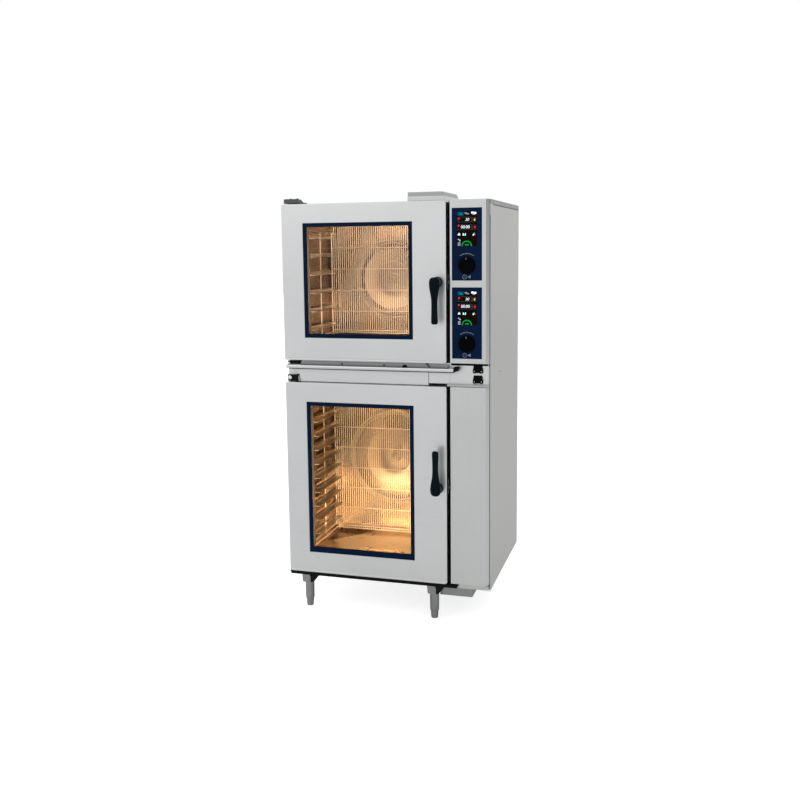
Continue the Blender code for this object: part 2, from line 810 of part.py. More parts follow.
def make_cavity(oven, steel):
    floor = oven.floor
    ceiling = oven.ceiling
    flange = boxes(
        (
            (
                across(BODY_LEFT_INSET + SHEET + TOUCH),
                back(FLANGE_BACK),
                oven.door_bottom + oven.flange_lift,
            ),
            (
                across(COLUMN_LEFT - FRAME_GAP),
                back(FLANGE_BACK + SHEET),
                oven.door_top - oven.flange_drop,
            ),
        )
    )
    cavity = link(f"{oven.name}_cavity", flange, steel)
    shell = boxes(
        (
            (across(CAVITY_LEFT - SHEET), back(FLANGE_BACK + SHEET / 2), floor - SHEET),
            (across(CAVITY_RIGHT + SHEET), back(CAVITY_BACK + SHEET), ceiling + SHEET),
        )
    )
    join(cavity, shell, "shell")
    inside = boxes(
        (
            (across(CAVITY_LEFT), back(FLANGE_BACK - SHEET), floor),
            (across(CAVITY_RIGHT), back(CAVITY_BACK), ceiling),
        )
    )
    cut(cavity, inside, "inside")
    shaft_start = (across(CAVITY_MIDDLE), back(CAVITY_BACK - SHEET), oven.fan_height)
    shaft_hole = cylinder(
        shaft_start, "Y", 3 * SHEET, SHAFT_RADIUS + SHAFT_CLEARANCE, segments=SMALL_ROUND
    )
    cut(cavity, shaft_hole, "shaft_hole")
    drain_start = (across(CAVITY_MIDDLE), back(DRAIN_BACK), floor - 2 * SHEET)
    drain_hole = cylinder(drain_start, "Z", 3 * SHEET, DRAIN_RADIUS, segments=SMALL_ROUND)
    cut(cavity, drain_hole, "drain_hole")


def make_gasket(oven, rubber):
    front = DOOR_THICKNESS + SEAL_GAP
    rear = FLANGE_BACK - TOUCH
    inner = SHEET
    outer = SHEET + SEAL_WIDTH
    ring = link(
        f"{oven.name}_door_gasket",
        boxes(
            (
                (across(CAVITY_LEFT - outer), back(front), oven.floor - outer),
                (across(CAVITY_RIGHT + outer), back(rear), oven.ceiling + outer),
            )
        ),
        rubber,
    )
    mouth = boxes(
        (
            (across(CAVITY_LEFT - inner), back(front - SHEET), oven.floor - inner),
            (across(CAVITY_RIGHT + inner), back(rear + SHEET), oven.ceiling + inner),
        )
    )
    cut(ring, mouth, "mouth")


def make_lamp(oven, glass):
    place = (
        across(CAVITY_RIGHT - LAMP_FROM_RIGHT),
        back(LAMP_BACK),
        oven.ceiling - TOUCH - LAMP_DEPTH,
    )
    lens = cylinder(place, "Z", LAMP_DEPTH, LAMP_TAPER * LAMP_RADIUS, LAMP_RADIUS, SMALL_ROUND)
    link(f"{oven.name}_cavity_lamp", lens, glass)


def make_rack(oven, side, steel):
    """A hanging rack: two posts joined at top and bottom, and a rail for each level."""
    if side == "left":
        middle = CAVITY_LEFT + RACK_FROM_WALL
        inward = 1
    else:
        middle = CAVITY_RIGHT - RACK_FROM_WALL
        inward = -1
    half = RACK_POST / 2
    rear = GUARD_BACK - RACK_TO_GUARD
    first = oven.floor + oven.first_level
    last = first + (oven.levels - 1) * oven.level_pitch
    bottom = first - RACK_FOOT
    top = last + RACK_HEAD
    posts = []
    for start in (RACK_FRONT, rear - RACK_POST):
        posts.append(
            (
                (across(middle - half), back(start), bottom),
                (across(middle + half), back(start + RACK_POST), top),
            )
        )
    rack = link(f"{oven.name}_{side}_rack", boxes(*posts), steel)
    bars = []
    for height in (bottom + RACK_POST, top - 2 * RACK_POST):
        bars.append(
            (
                (across(middle - half / 2), back(RACK_FRONT + half), height),
                (across(middle + half / 2), back(rear - half), height + RACK_POST),
            )
        )
    reach = (middle - inward * half / 2, middle + inward * (RAIL_WIDTH - half))
    for level in range(oven.levels):
        height = first + level * oven.level_pitch
        bars.append(
            (
                (across(min(reach)), back(RACK_FRONT - half), height - RAIL_THICKNESS),
                (across(max(reach)), back(rear + half), height),
            )
        )
    join(rack, boxes(*bars), "rails")


# ---- Fan, guard, heater and motor --------------------------------------------------------------------


def make_guard(oven, steel):
    """Rod guard in front of the fan: uprights with cross rods behind them."""
    left = CAVITY_LEFT + GUARD_MARGIN
    right = CAVITY_RIGHT - GUARD_MARGIN
    bottom = oven.floor + GUARD_MARGIN
    top = oven.ceiling - GUARD_MARGIN
    pitch = (right - left - GUARD_ROD) / (GUARD_BARS - 1)
    uprights = []
    for index in range(GUARD_BARS):
        start = left + index * pitch
        uprights.append(
            (
                (across(start), back(GUARD_BACK), bottom),
                (across(start + GUARD_ROD), back(GUARD_BACK + GUARD_ROD), top),
            )
        )
    guard = link(f"{oven.name}_fan_guard", boxes(*uprights), steel)
    lowest = bottom + GUARD_ROD
    row_pitch = (top - bottom - 3 * GUARD_ROD) / (oven.guard_rows + 1)
    cross_rods = []
    for row in range(oven.guard_rows + 2):
        height = lowest + row * row_pitch
        cross_rods.append(
            (
                (across(left - GUARD_ROD), back(GUARD_BACK + GUARD_ROD / 2), height),
                (across(right + GUARD_ROD), back(GUARD_BACK + 1.5 * GUARD_ROD), height + GUARD_ROD),
            )
        )
    join(guard, boxes(*cross_rods), "cross_rods")


def make_fan_wheel(oven, steel):
    """Radial wheel: a back disc turned in one with its hub and shaft, then blades and a front ring."""
    x = across(CAVITY_MIDDLE)
    z = oven.fan_height
    disc_back = CAVITY_BACK - WHEEL_TO_WALL
    disc_front = disc_back - 2 * SHEET
    front = disc_back - WHEEL_DEPTH
    hub_front = disc_front - WHEEL_HUB_LENGTH
    shaft_back = CAVITY_BACK + SHAFT_REACH
    disc = turned(
        (
            (hub_front, 0.0),
            (hub_front, WHEEL_HUB_RADIUS),
            (disc_front, WHEEL_HUB_RADIUS),
            (disc_front, WHEEL_RADIUS),
            (disc_back, WHEEL_RADIUS),
            (disc_back, SHAFT_RADIUS),
            (shaft_back, SHAFT_RADIUS),
            (shaft_back, 0.0),
        ),
        x,
        z,
    )
    wheel = link(f"{oven.name}_fan_wheel", disc, steel, SMOOTH_ANGLE)
    blades = bmesh.new()
    low = (WHEEL_INLET_RADIUS + 2 * SHEET, front + SHEET, -SHEET)
    high = (WHEEL_RADIUS - 2 * SHEET, disc_front + SHEET, SHEET)
    for index in range(WHEEL_BLADES):
        before = len(blades.verts)
        add_box(blades, low, high)
        turn = Matrix.Rotation(index * math.tau / WHEEL_BLADES, 4, "Y")
        place = Matrix.Translation((x, FACE, z)) @ turn
        bmesh.ops.transform(blades, matrix=place, verts=list(blades.verts)[before:])
    join(wheel, blades, "blades")
    ring_back = front + 2 * SHEET
    ring = turned(
        (
            (front, WHEEL_INLET_RADIUS),
            (front, WHEEL_RADIUS),
            (ring_back, WHEEL_RADIUS),
            (ring_back, WHEEL_INLET_RADIUS),
            (front, WHEEL_INLET_RADIUS),
        ),
        x,
        z,
    )
    bmesh.ops.remove_doubles(ring, verts=ring.verts, dist=TOUCH / 10)
    join(wheel, ring, "front_ring")
    carry(axis_at(f"{oven.name}_fan_axis", (x, back(front), z)), wheel)


def make_fan_motor(oven, cast):
    x = across(CAVITY_MIDDLE)
    z = oven.fan_height
    start = CAVITY_BACK + SHEET + TOUCH
    half = MOTOR_RADIUS + 2 * SHAFT_RADIUS
    plate = boxes(((x - half, back(start), z - half), (x + half, back(start + MOTOR_PLATE), z + half)))
    motor = link(f"{oven.name}_fan_motor", plate, cast)
    can_start = start + MOTOR_PLATE / 2
    can_length = BODY_DEPTH - MOTOR_TO_PANEL - can_start
    join(motor, cylinder((x, back(can_start), z), "Y", can_length, MOTOR_RADIUS), "can")
    socket = cylinder(
        (x, back(start - MOTOR_PLATE), z),
        "Y",
        SHAFT_REACH + 2 * MOTOR_PLATE,
        SHAFT_RADIUS + SHAFT_CLEARANCE / 2,
        segments=SMALL_ROUND,
    )
    cut(motor, socket, "shaft_socket")


def ring_tube(radius, depth, x, z):
    """A tube bent to a full ring about the fan's axis."""
    bm = bmesh.new()
    tube_middle = Vector((x + radius, back(depth), z))
    matrix = Matrix.Translation(tube_middle)
    bmesh.ops.create_circle(bm, segments=6, radius=HEATER_TUBE_RADIUS, matrix=matrix)
    bmesh.ops.spin(
        bm,
        geom=list(bm.edges),
        cent=(x, back(depth), z),
        axis=(0, 1, 0),
        angle=math.tau,
        steps=ROUND,
        use_merge=True,
    )
    bmesh.ops.remove_doubles(bm, verts=bm.verts, dist=1e-5)
    return bm


def make_heater(oven, steel):
    """Two tube rings round the fan wheel, tied by bars, with a leg that goes back to the wall."""
    x = across(CAVITY_MIDDLE)
    z = oven.fan_height
    first = CAVITY_BACK - HEATER_TO_WALL
    second = first + HEATER_RING_PITCH
    radius = oven.heater_radius
    half = HEATER_TIE * HEATER_TUBE_RADIUS
    first_ring = ring_tube(radius, first, x, z)
    heater = link(f"{oven.name}_ring_heater", first_ring, steel, SMOOTH_ANGLE)
    join(heater, ring_tube(radius, second, x, z), "second_ring")
    ties = []
    for way in (-1, 1):
        ties.append(
            (
                (x + way * radius - half, back(first - half), z - 2 * half),
                (x + way * radius + half, back(second + half), z + 2 * half),
            )
        )
    ties.append(
        (
            (x - half, back(first), z + radius - half),
            (x + half, back(CAVITY_BACK - TOUCH), z + radius + half),
        )
    )
    join(heater, boxes(*ties), "ties")


# ---- Doors -------------------------------------------------------------------------------------------


def hinge_place(height):
    return (across(HINGE_FROM_LEFT), back(HINGE_BACK), height)


def make_door_shell(oven, steel):
    """A hollow folded-sheet door with a window through it."""
    bottom = oven.door_bottom
    top = oven.door_top
    sill = oven.sill
    head = oven.head
    left_jamb = WINDOW_LEFT
    right_jamb = DOOR_WIDTH - WINDOW_RIGHT
    shell = link(
        f"{oven.name}_door_shell",
        boxes(((across(0.0), back(0.0), bottom), (across(DOOR_WIDTH), back(DOOR_THICKNESS), top))),
        steel,
    )
    window = boxes(
        (
            (across(left_jamb), back(-SHEET), sill),
            (across(right_jamb), back(DOOR_THICKNESS + SHEET), head),
        )
    )
    cut(shell, window, "window")
    inner_front = back(SHEET)
    inner_back = back(DOOR_THICKNESS - SHEET)
    voids = (
        ("left_void", SHEET, left_jamb - SHEET, bottom + SHEET, top - SHEET),
        ("right_void", right_jamb + SHEET, DOOR_WIDTH - SHEET, bottom + SHEET, top - SHEET),
        ("bottom_void", left_jamb - 2 * SHEET, right_jamb + 2 * SHEET, bottom + SHEET, sill - SHEET),
        ("top_void", left_jamb - 2 * SHEET, right_jamb + 2 * SHEET, head + SHEET, top - SHEET),
    )
    for label, start, end, low, high in voids:
        cut(shell, boxes(((across(start), inner_front, low), (across(end), inner_back, high))), label)
    pin_holes = bmesh.new()
    for height in (bottom, top):
        add_cylinder(
            pin_holes,
            hinge_place(height - 2 * SHEET),
            "Z",
            4 * SHEET,
            PIN_RADIUS + PIN_CLEARANCE,
            segments=SMALL_ROUND,
        )
    cut(shell, pin_holes, "pin_holes")
    spindle_hole = cylinder(
        (across(DOOR_WIDTH - HUB_FROM_RIGHT), back(-SHEET), oven.hub),
        "Y",
        3 * SHEET,
        SPINDLE_RADIUS + SPINDLE_CLEARANCE,
        segments=SMALL_ROUND,
    )
    cut(shell, spindle_hole, "spindle_hole")
    edge = HUB_FROM_RIGHT - SHEET
    reach = math.hypot(TONGUE_LENGTH, TONGUE_HEIGHT / 2)
    sweep = math.sqrt(reach**2 - edge**2) + TONGUE_CLEARANCE
    slot_back = TONGUE_BACK + TONGUE_THICKNESS + TONGUE_CLEARANCE
    slot = boxes(
        (
            (across(DOOR_WIDTH - 2 * SHEET), back(TONGUE_BACK - TONGUE_CLEARANCE), oven.hub - sweep),
            (across(DOOR_WIDTH + SHEET), back(slot_back), oven.hub + sweep),
        )
    )
    cut(shell, slot, "latch_slot")
    return shell


def make_pane(oven, name, depth, glass):
    right = DOOR_WIDTH - WINDOW_RIGHT - TOUCH
    low = (across(WINDOW_LEFT + TOUCH), back(depth), oven.sill + TOUCH)
    high = (across(right), back(depth + GLASS_THICKNESS), oven.head - TOUCH)
    return link(f"{oven.name}_{name}", boxes((low, high)), glass)


def make_handle(oven, plastic):
    """A hub that stands off the door, and a tapered lever whose fat end sits on it."""
    x = across(DOOR_WIDTH - HUB_FROM_RIGHT)
    depth = back(LEVER_FRONT - HANDLE_REACH)
    bm = bmesh.new()
    rings = []
    for along, half_width, half_thickness in LEVER_SECTIONS:
        ring = []
        for index in range(SMALL_ROUND):
            angle = math.tau * index / SMALL_ROUND
            point = (
                x + half_width * math.cos(angle),
                depth + half_thickness * math.sin(angle),
                oven.hub + oven.lever_way * along,
            )
            ring.append(bm.verts.new(point))
        rings.append(ring)
    for first, second in zip(rings, rings[1:]):
        for index in range(SMALL_ROUND):
            following = (index + 1) % SMALL_ROUND
            bm.faces.new((first[index], first[following], second[following], second[index]))
    bm.faces.new(rings[0])
    bm.faces.new(rings[-1])
    handle = link(f"{oven.name}_handle", bm, plastic, SMOOTH_ANGLE)
    hub_length = back(-HUB_GAP) - depth
    hub = cylinder((x, depth, oven.hub), "Y", hub_length, HUB_TAPER * HUB_RADIUS, HUB_RADIUS)
    join(handle, hub, "hub")
    return handle


def make_latch(oven, steel):
    """Spindle that the handle turns, with the tongue that reaches towards the column."""
    x = across(DOOR_WIDTH - HUB_FROM_RIGHT)
    z = oven.hub
    start = back(TOUCH - HUB_GAP)
    length = back(TONGUE_BACK + TONGUE_THICKNESS) - start
    spindle = cylinder((x, start, z), "Y", length, SPINDLE_RADIUS, segments=SMALL_ROUND)
    latch = link(f"{oven.name}_latch", spindle, steel, SMOOTH_ANGLE)
    half = TONGUE_HEIGHT / 2
    tongue = boxes(
        (
            (x - half, back(TONGUE_BACK), z - half),
            (x + TONGUE_LENGTH, back(TONGUE_BACK + TONGUE_THICKNESS - TONGUE_SHOULDER), z + half),
        )
    )
    join(latch, tongue, "tongue")
    return latch


def make_door(oven, materials):
    shell = make_door_shell(oven, materials.front_steel)
    outer = make_pane(oven, "outer_glass", GLASS_RECESS, materials.window_glass)
    inner_depth = DOOR_THICKNESS - GLASS_THICKNESS - GLASS_RECESS
    inner = make_pane(oven, "inner_glass", inner_depth, materials.window_glass)
    handle = make_handle(oven, materials.black_plastic)
    latch = make_latch(oven, materials.steel)
    hinge = axis_at(f"{oven.name}_door_axis", hinge_place(oven.door_bottom))
    carry(hinge, shell, outer, inner)
    hub = (across(DOOR_WIDTH - HUB_FROM_RIGHT), back(0.0), oven.hub)
    carry(axis_at(f"{oven.name}_handle_axis", hub, hinge), handle, latch)


def make_top_hinge(steel):
    """Bracket on the top cover that overhangs the upper door and holds its pin."""
    bottom = COVER_TOP + TOUCH
    left = HINGE_FROM_LEFT - HINGE_START
    right = left + TOP_HINGE_LENGTH
    rim = HINGE_RIM
    plate = boxes(
        (
            (across(left), back(HINGE_BACK - HINGE_START - rim), bottom),
            (across(right), back(FLANGE_BACK + HINGE_BACK), bottom + HINGE_PLATE),
        )
    )
    bracket = link("top_hinge_bracket", plate, steel)
    block = boxes(
        (
            (across(left + rim), back(HINGE_BACK - HINGE_START - rim / 2), bottom + HINGE_PLATE / 2),
            (across(right - rim), back(HINGE_BACK + 3 * rim), bottom + 3 * HINGE_PLATE),
        )
    )
    join(bracket, block, "block")
    pin_end = UPPER_DOOR_TOP - PIN_REACH
    pin_length = bottom + HINGE_PLATE / 2 - pin_end
    pin = cylinder(hinge_place(pin_end), "Z", pin_length, PIN_RADIUS, segments=SMALL_ROUND)
    join(bracket, pin, "pin")


def make_middle_hinge(steel):
    """Upright plate between the doors, with an arm and a pin for each of them."""
    upper_arm, lower_arm = hinge_arms()
    root = HINGE_PLATE / 2
    plate = boxes(
        (
            (across(HINGE_FROM_LEFT - HINGE_PLATE), back(FASCIA_BACK), lower_arm[0][2] + root),
            (across(HINGE_PLATE_RIGHT), back(FASCIA_BACK + HINGE_PLATE), upper_arm[1][2] - root),
        )
    )
    bracket = link("middle_hinge_bracket", plate, steel)
    join(bracket, boxes(upper_arm), "upper_arm")
    join(bracket, boxes(lower_arm), "lower_arm")
    upper_start = upper_arm[1][2] - root
    upper_length = UPPER_DOOR_BOTTOM + PIN_REACH - upper_start
    upper_pin = cylinder(
        hinge_place(upper_start), "Z", upper_length, PIN_RADIUS, segments=SMALL_ROUND
    )
    join(bracket, upper_pin, "upper_pin")
    lower_start = LOWER_DOOR_TOP - PIN_REACH
    lower_length = lower_arm[0][2] + root - lower_start
    lower_pin = cylinder(
        hinge_place(lower_start), "Z", lower_length, PIN_RADIUS, segments=SMALL_ROUND
    )
    join(bracket, lower_pin, "lower_pin")


def make_bottom_hinge(steel):
    """Plate on the base, under the lower door, with its pin."""
    bottom = BASE_HEIGHT + BASE_SHEET + TOUCH
    left = HINGE_FROM_LEFT - PIN_RADIUS - TOUCH
    plate = boxes(
        (
            (across(left), back(STRIP_DEPTH + BASE_SHEET + TOUCH), bottom),
            (across(left + TOP_HINGE_LENGTH), back(DOOR_THICKNESS), bottom + HINGE_PLATE),
        )
    )
    bracket = link("bottom_hinge_bracket", plate, steel)
    pin_start = bottom + HINGE_PLATE / 2
    pin_length = LOWER_DOOR_BOTTOM + PIN_REACH - pin_start
    pin = cylinder(hinge_place(pin_start), "Z", pin_length, PIN_RADIUS, segments=SMALL_ROUND)
    join(bracket, pin, "pin")


# ---- Controls ----------------------------------------------------------------------------------------


def make_control_panel(index, name, materials):
    """A glass control panel with its rotary selector knob."""
    left = across(COLUMN_LEFT + PANEL_FROM_COLUMN)
    bottom = panel_bottom(index)
    low = (left + PANEL_GAP, back(0.0), bottom + PANEL_GAP)
    high = (
        left + PANEL_WIDTH - PANEL_GAP,
        back(PANEL_THICKNESS),
        bottom + PANEL_HEIGHT - PANEL_GAP,
    )
    panel = link(f"{name}_control_glass", boxes((low, high)), materials.navy_glass)
    x = left + PANEL_WIDTH / 2
    z = bottom + KNOB_HEIGHT
    hole = cylinder(
        (x, back(-SHEET), z),
        "Y",
        PANEL_THICKNESS + 2 * SHEET,
        KNOB_STEM_RADIUS + KNOB_STEM_CLEARANCE,
        segments=SMALL_ROUND,
    )
    cut(panel, hole, "stem_hole")
    front = back(-KNOB_DEPTH - KNOB_GAP)
    cap = cylinder((x, front, z), "Y", KNOB_DEPTH, KNOB_TAPER * KNOB_RADIUS, KNOB_RADIUS)
    knob = link(f"{name}_knob", cap, materials.black_plastic, SMOOTH_ANGLE)
    stem = cylinder(
        (x, front + KNOB_DEPTH / 2, z),
        "Y",
        KNOB_STEM_LENGTH,
        KNOB_STEM_RADIUS,
        segments=SMALL_ROUND,
    )
    join(knob, stem, "stem")
    carry(axis_at(f"{name}_knob_axis", (x, front, z)), knob)


def make_socket_flap(index, name, rubber):
    """A soft cover over a probe socket, which lifts on a pin along its top edge."""
    top = UPPER_DOOR_BOTTOM - FLAP_TOP_MARGIN - index * FLAP_PITCH
    bottom = top - FLAP_HEIGHT
    rear = FASCIA_BACK - FLAP_OFF_FASCIA
    right = across(BODY_WIDTH - FLAP_FROM_RIGHT)
    left = right - FLAP_WIDTH
    shoulder = FLAP_CORNER / 3
    outline = [
        (left + FLAP_CORNER, bottom),
        (right - FLAP_CORNER, bottom),
        (right, bottom + FLAP_CORNER),
        (right - shoulder, top - shoulder),
        (right - FLAP_CORNER, top),
        (left + FLAP_CORNER, top),
        (left + shoulder, top - shoulder),
        (left, bottom + FLAP_CORNER),
    ]
    flap = link(
        f"{name}_socket_flap",
        prism(outline, "Y", back(rear - FLAP_THICKNESS), back(rear)),
        rubber,
    )
    pin = ((left + right) / 2, back(rear - FLAP_THICKNESS / 2), top - FLAP_PIN_DROP)
    carry(axis_at(f"{name}_flap_axis", pin), flap)


def make_electronics(board):
    """Mounting plate in the right-hand compartment, with the two controllers and the contactors."""
    x = across(BODY_WIDTH - SHEET - TRAY_FROM_SIDE)
    low = (x - TRAY_PLATE, back(TRAY_FRONT), UPPER_DOOR_BOTTOM + TRAY_ENDS)
    high = (x, back(BODY_DEPTH - TRAY_REAR_SPACE), UPPER_DOOR_TOP - TRAY_ENDS)
    tray = link("electronics_tray", boxes((low, high)), board)
    pitch = (high[2] - low[2] - UNIT_MARGIN) / UNIT_COUNT
    units = []
    for index in range(UNIT_COUNT):
        start = low[2] + UNIT_MARGIN + index * pitch
        units.append(
            (
                (x - TRAY_PLATE - UNIT_DEPTH, low[1] + UNIT_MARGIN, start),
                (x - TRAY_PLATE / 2, high[1] - UNIT_MARGIN, start + pitch - UNIT_MARGIN),
            )
        )
    join(tray, boxes(*units), "units")


# ---- Legs --------------------------------------------------------------------------------------------


def make_leg(name, from_left, depth, cast, dark):
    """A bracket with a gusset and a bored tube, and the tip that screws out of it."""
    x = across(from_left)
    y = back(depth)
    top = BASE_HEIGHT - TOUCH
    bracket_bottom = top - LEG_BRACKET_HEIGHT
    outline = [
        (x - LEG_BRACKET_HALF, top),
        (x - LEG_RADIUS, bracket_bottom),
        (x + LEG_RADIUS, bracket_bottom),
        (x + LEG_GUSSET, top),
    ]
    bracket = prism(outline, "Y", y - LEG_RADIUS - LEG_BRACKET_LIP, y + LEG_RADIUS)
    leg = link(f"{name}_leg", bracket, cast)
    tube_length = (bracket_bottom + top) / 2 - TIP_HEIGHT
    tube = cylinder((x, y, TIP_HEIGHT), "Z", tube_length, LEG_TAPER * LEG_RADIUS, LEG_RADIUS)
    join(leg, tube, "tube")
    bore = cylinder(
        (x, y, TIP_HEIGHT - TIP_END_SPACE),
        "Z",
        TIP_STEM_LENGTH + 2 * TIP_END_SPACE,
        TIP_STEM_RADIUS + TIP_CLEARANCE,
        segments=SMALL_ROUND,
    )
    cut(leg, bore, "bore")
    tip_length = TIP_HEIGHT - TOUCH
    tip = cylinder((x, y, 0.0), "Z", tip_length, TIP_TAPER * TIP_RADIUS, TIP_RADIUS, SMALL_ROUND)
    foot = link(f"{name}_leg_tip", tip, dark, SMOOTH_ANGLE)
    stem = cylinder(
        (x, y, TIP_HEIGHT / 2), "Z", TIP_STEM_LENGTH + TIP_HEIGHT / 2, TIP_STEM_RADIUS, segments=SMALL_ROUND
    )
    join(foot, stem, "stem")
    carry(axis_at(f"{name}_leg_axis", (x, y, TIP_HEIGHT)), foot)


# ---- Assembly ----------------------------------------------------------------------------------------


def clear_scene():
    for old in list(bpy.data.objects):
        bpy.data.objects.remove(old, do_unlink=True)


def make_materials():
    return SimpleNamespace(
        front_steel=make_material("front_steel", (0.62, 0.63, 0.63), 0.34, 1.0),
        side_steel=make_material("side_steel", (0.50, 0.50, 0.48), 0.42, 1.0),
        cavity_steel=make_material("cavity_steel", (0.70, 0.66, 0.60), 0.22, 1.0),
        steel=make_material("steel", (0.55, 0.56, 0.56), 0.30, 1.0),
        cast_grey=make_material("cast_grey", (0.30, 0.31, 0.31), 0.50, 0.8),
        black_plastic=make_material("black_plastic", (0.012, 0.022, 0.030), 0.40, 0.0),
        black_rubber=make_material("black_rubber", (0.010, 0.010, 0.010), 0.70, 0.0),
        navy_glass=make_material("navy_glass", (0.004, 0.016, 0.060), 0.08, 0.0),
        window_glass=make_material("window_glass", (0.85, 0.80, 0.70), 0.02, 0.0, 0.25),
        lamp_glass=make_material("lamp_glass", (1.00, 0.90, 0.70), 0.10, 0.0),
        board_green=make_material("board_green", (0.05, 0.20, 0.10), 0.60, 0.0),
        brass=make_material("brass", (0.60, 0.45, 0.20), 0.35, 1.0),
    )


def build():
    clear_scene()
    materials = make_materials()
    make_side_panels(materials.side_steel)
    make_back_panel(materials.side_steel)
    make_top_cover(materials.side_steel)
    make_columns(materials.front_steel)
    make_stacking_frame(materials.front_steel)
    make_fascia(materials.front_steel)
    make_base_frame(materials.side_steel)
    make_chimney(materials.side_steel)
    make_drain_box(materials.steel)
    make_rear_connections(materials.brass)
    make_drip_gutter(materials.steel)
    make_lower_strip(materials.black_rubber)
    for oven in OVENS:
        make_cavity(oven, materials.cavity_steel)
        make_gasket(oven, materials.black_rubber)
        make_lamp(oven, materials.lamp_glass)
        for side in ("left", "right"):
            make_rack(oven, side, materials.cavity_steel)
        make_guard(oven, materials.cavity_steel)
        make_fan_wheel(oven, materials.steel)
        make_fan_motor(oven, materials.cast_grey)
        make_heater(oven, materials.steel)
        make_door(oven, materials)
    make_top_hinge(materials.cast_grey)
    make_middle_hinge(materials.cast_grey)
    make_bottom_hinge(materials.cast_grey)
    for index, oven in enumerate(OVENS):
        make_control_panel(index, oven.name, materials)
        make_socket_flap(index, oven.name, materials.black_rubber)
    make_electronics(materials.board_green)
    for end, depth in (("front", LEG_FRONT), ("rear", LEG_REAR)):
        for side, from_left in (("left", LEG_LEFT), ("right", LEG_RIGHT)):
            make_leg(f"{end}_{side}", from_left, depth, materials.cast_grey, materials.steel)


build()
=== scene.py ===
"""Looks of the two-deck combi steamer oven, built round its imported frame.

Metres, +Z up, doors towards -Y. Pieces take their places from the boxes of the frame's nodes.
"""

import json
import math
from types import SimpleNamespace

import bmesh
import bpy
from mathutils import Matrix, Vector


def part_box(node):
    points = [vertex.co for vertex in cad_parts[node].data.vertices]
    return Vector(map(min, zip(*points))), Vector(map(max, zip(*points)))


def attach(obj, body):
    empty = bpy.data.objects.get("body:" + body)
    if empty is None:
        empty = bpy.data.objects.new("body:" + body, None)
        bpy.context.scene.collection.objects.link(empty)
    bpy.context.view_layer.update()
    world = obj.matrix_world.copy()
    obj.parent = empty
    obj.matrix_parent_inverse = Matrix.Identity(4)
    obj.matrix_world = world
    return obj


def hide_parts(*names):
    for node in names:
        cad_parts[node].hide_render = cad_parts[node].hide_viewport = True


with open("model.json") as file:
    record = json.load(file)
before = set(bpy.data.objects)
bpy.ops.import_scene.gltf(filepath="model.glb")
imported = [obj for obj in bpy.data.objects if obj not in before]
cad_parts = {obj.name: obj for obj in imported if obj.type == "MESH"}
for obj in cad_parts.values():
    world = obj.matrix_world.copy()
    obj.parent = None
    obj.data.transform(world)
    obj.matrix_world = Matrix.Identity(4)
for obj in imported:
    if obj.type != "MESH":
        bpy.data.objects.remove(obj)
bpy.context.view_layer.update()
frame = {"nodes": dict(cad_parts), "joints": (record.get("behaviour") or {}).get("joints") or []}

DECKS = ("upper", "lower")
LEGS = ("front_left", "front_right", "rear_left", "rear_right")
TOWER = "oven_tower"
AXES = {"X": Vector((1, 0, 0)), "Y": Vector((0, 1, 0)), "Z": Vector((0, 0, 1))}
PLACES = {joint["name"]: Vector(joint["pos_m"]) for joint in frame["joints"] if "pos_m" in joint}
FIT = 0.0003  # clearance that the frame leaves round each pane
SHEET = 0.0015
DOOR_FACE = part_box("upper_door_shell")[0].y

# ---- Camera and studio -------------------------------------------------------------------------------

CAMERA_PLACE = Vector((1.2966, -4.5241, 1.7778))
CAMERA_YAW = math.radians(16.373)
CAMERA_PITCH = math.radians(7.39)
CAMERA_ROLL = math.radians(-0.594)
CAMERA_LENS = 42.158
CAMERA_SHIFT = -0.0375


def make_camera():
    data = bpy.data.cameras.new("camera")
    data.sensor_width = 36.0
    data.lens = CAMERA_LENS
    data.shift_y = CAMERA_SHIFT
    data.clip_end = 60.0
    camera = bpy.data.objects.new("camera", data)
    bpy.context.scene.collection.objects.link(camera)
    level = math.cos(CAMERA_PITCH)
    ahead = Vector((-math.sin(CAMERA_YAW) * level, math.cos(CAMERA_YAW) * level, -math.sin(CAMERA_PITCH)))
    right = ahead.cross(AXES["Z"]).normalized()
    above = right.cross(ahead)
    leaned_right = math.cos(CAMERA_ROLL) * right + math.sin(CAMERA_ROLL) * above
    leaned_above = math.cos(CAMERA_ROLL) * above - math.sin(CAMERA_ROLL) * right
    turn = Matrix((leaned_right, leaned_above, -ahead)).transposed().to_4x4()
    camera.matrix_world = Matrix.Translation(CAMERA_PLACE) @ turn
    bpy.context.scene.camera = camera


def make_light(name, place, target, size, power, colour=(1.0, 1.0, 1.0)):
    data = bpy.data.lights.new(name, "AREA")
    data.shape = "RECTANGLE"
    data.size, data.size_y = size
    data.energy = power
    data.color = colour
    light = bpy.data.objects.new(name, data)
    light.visible_camera = False
    light.visible_transmission = False
    bpy.context.scene.collection.objects.link(light)
    light.location = place
    light.rotation_euler = (Vector(target) - Vector(place)).to_track_quat("-Z", "Y").to_euler()


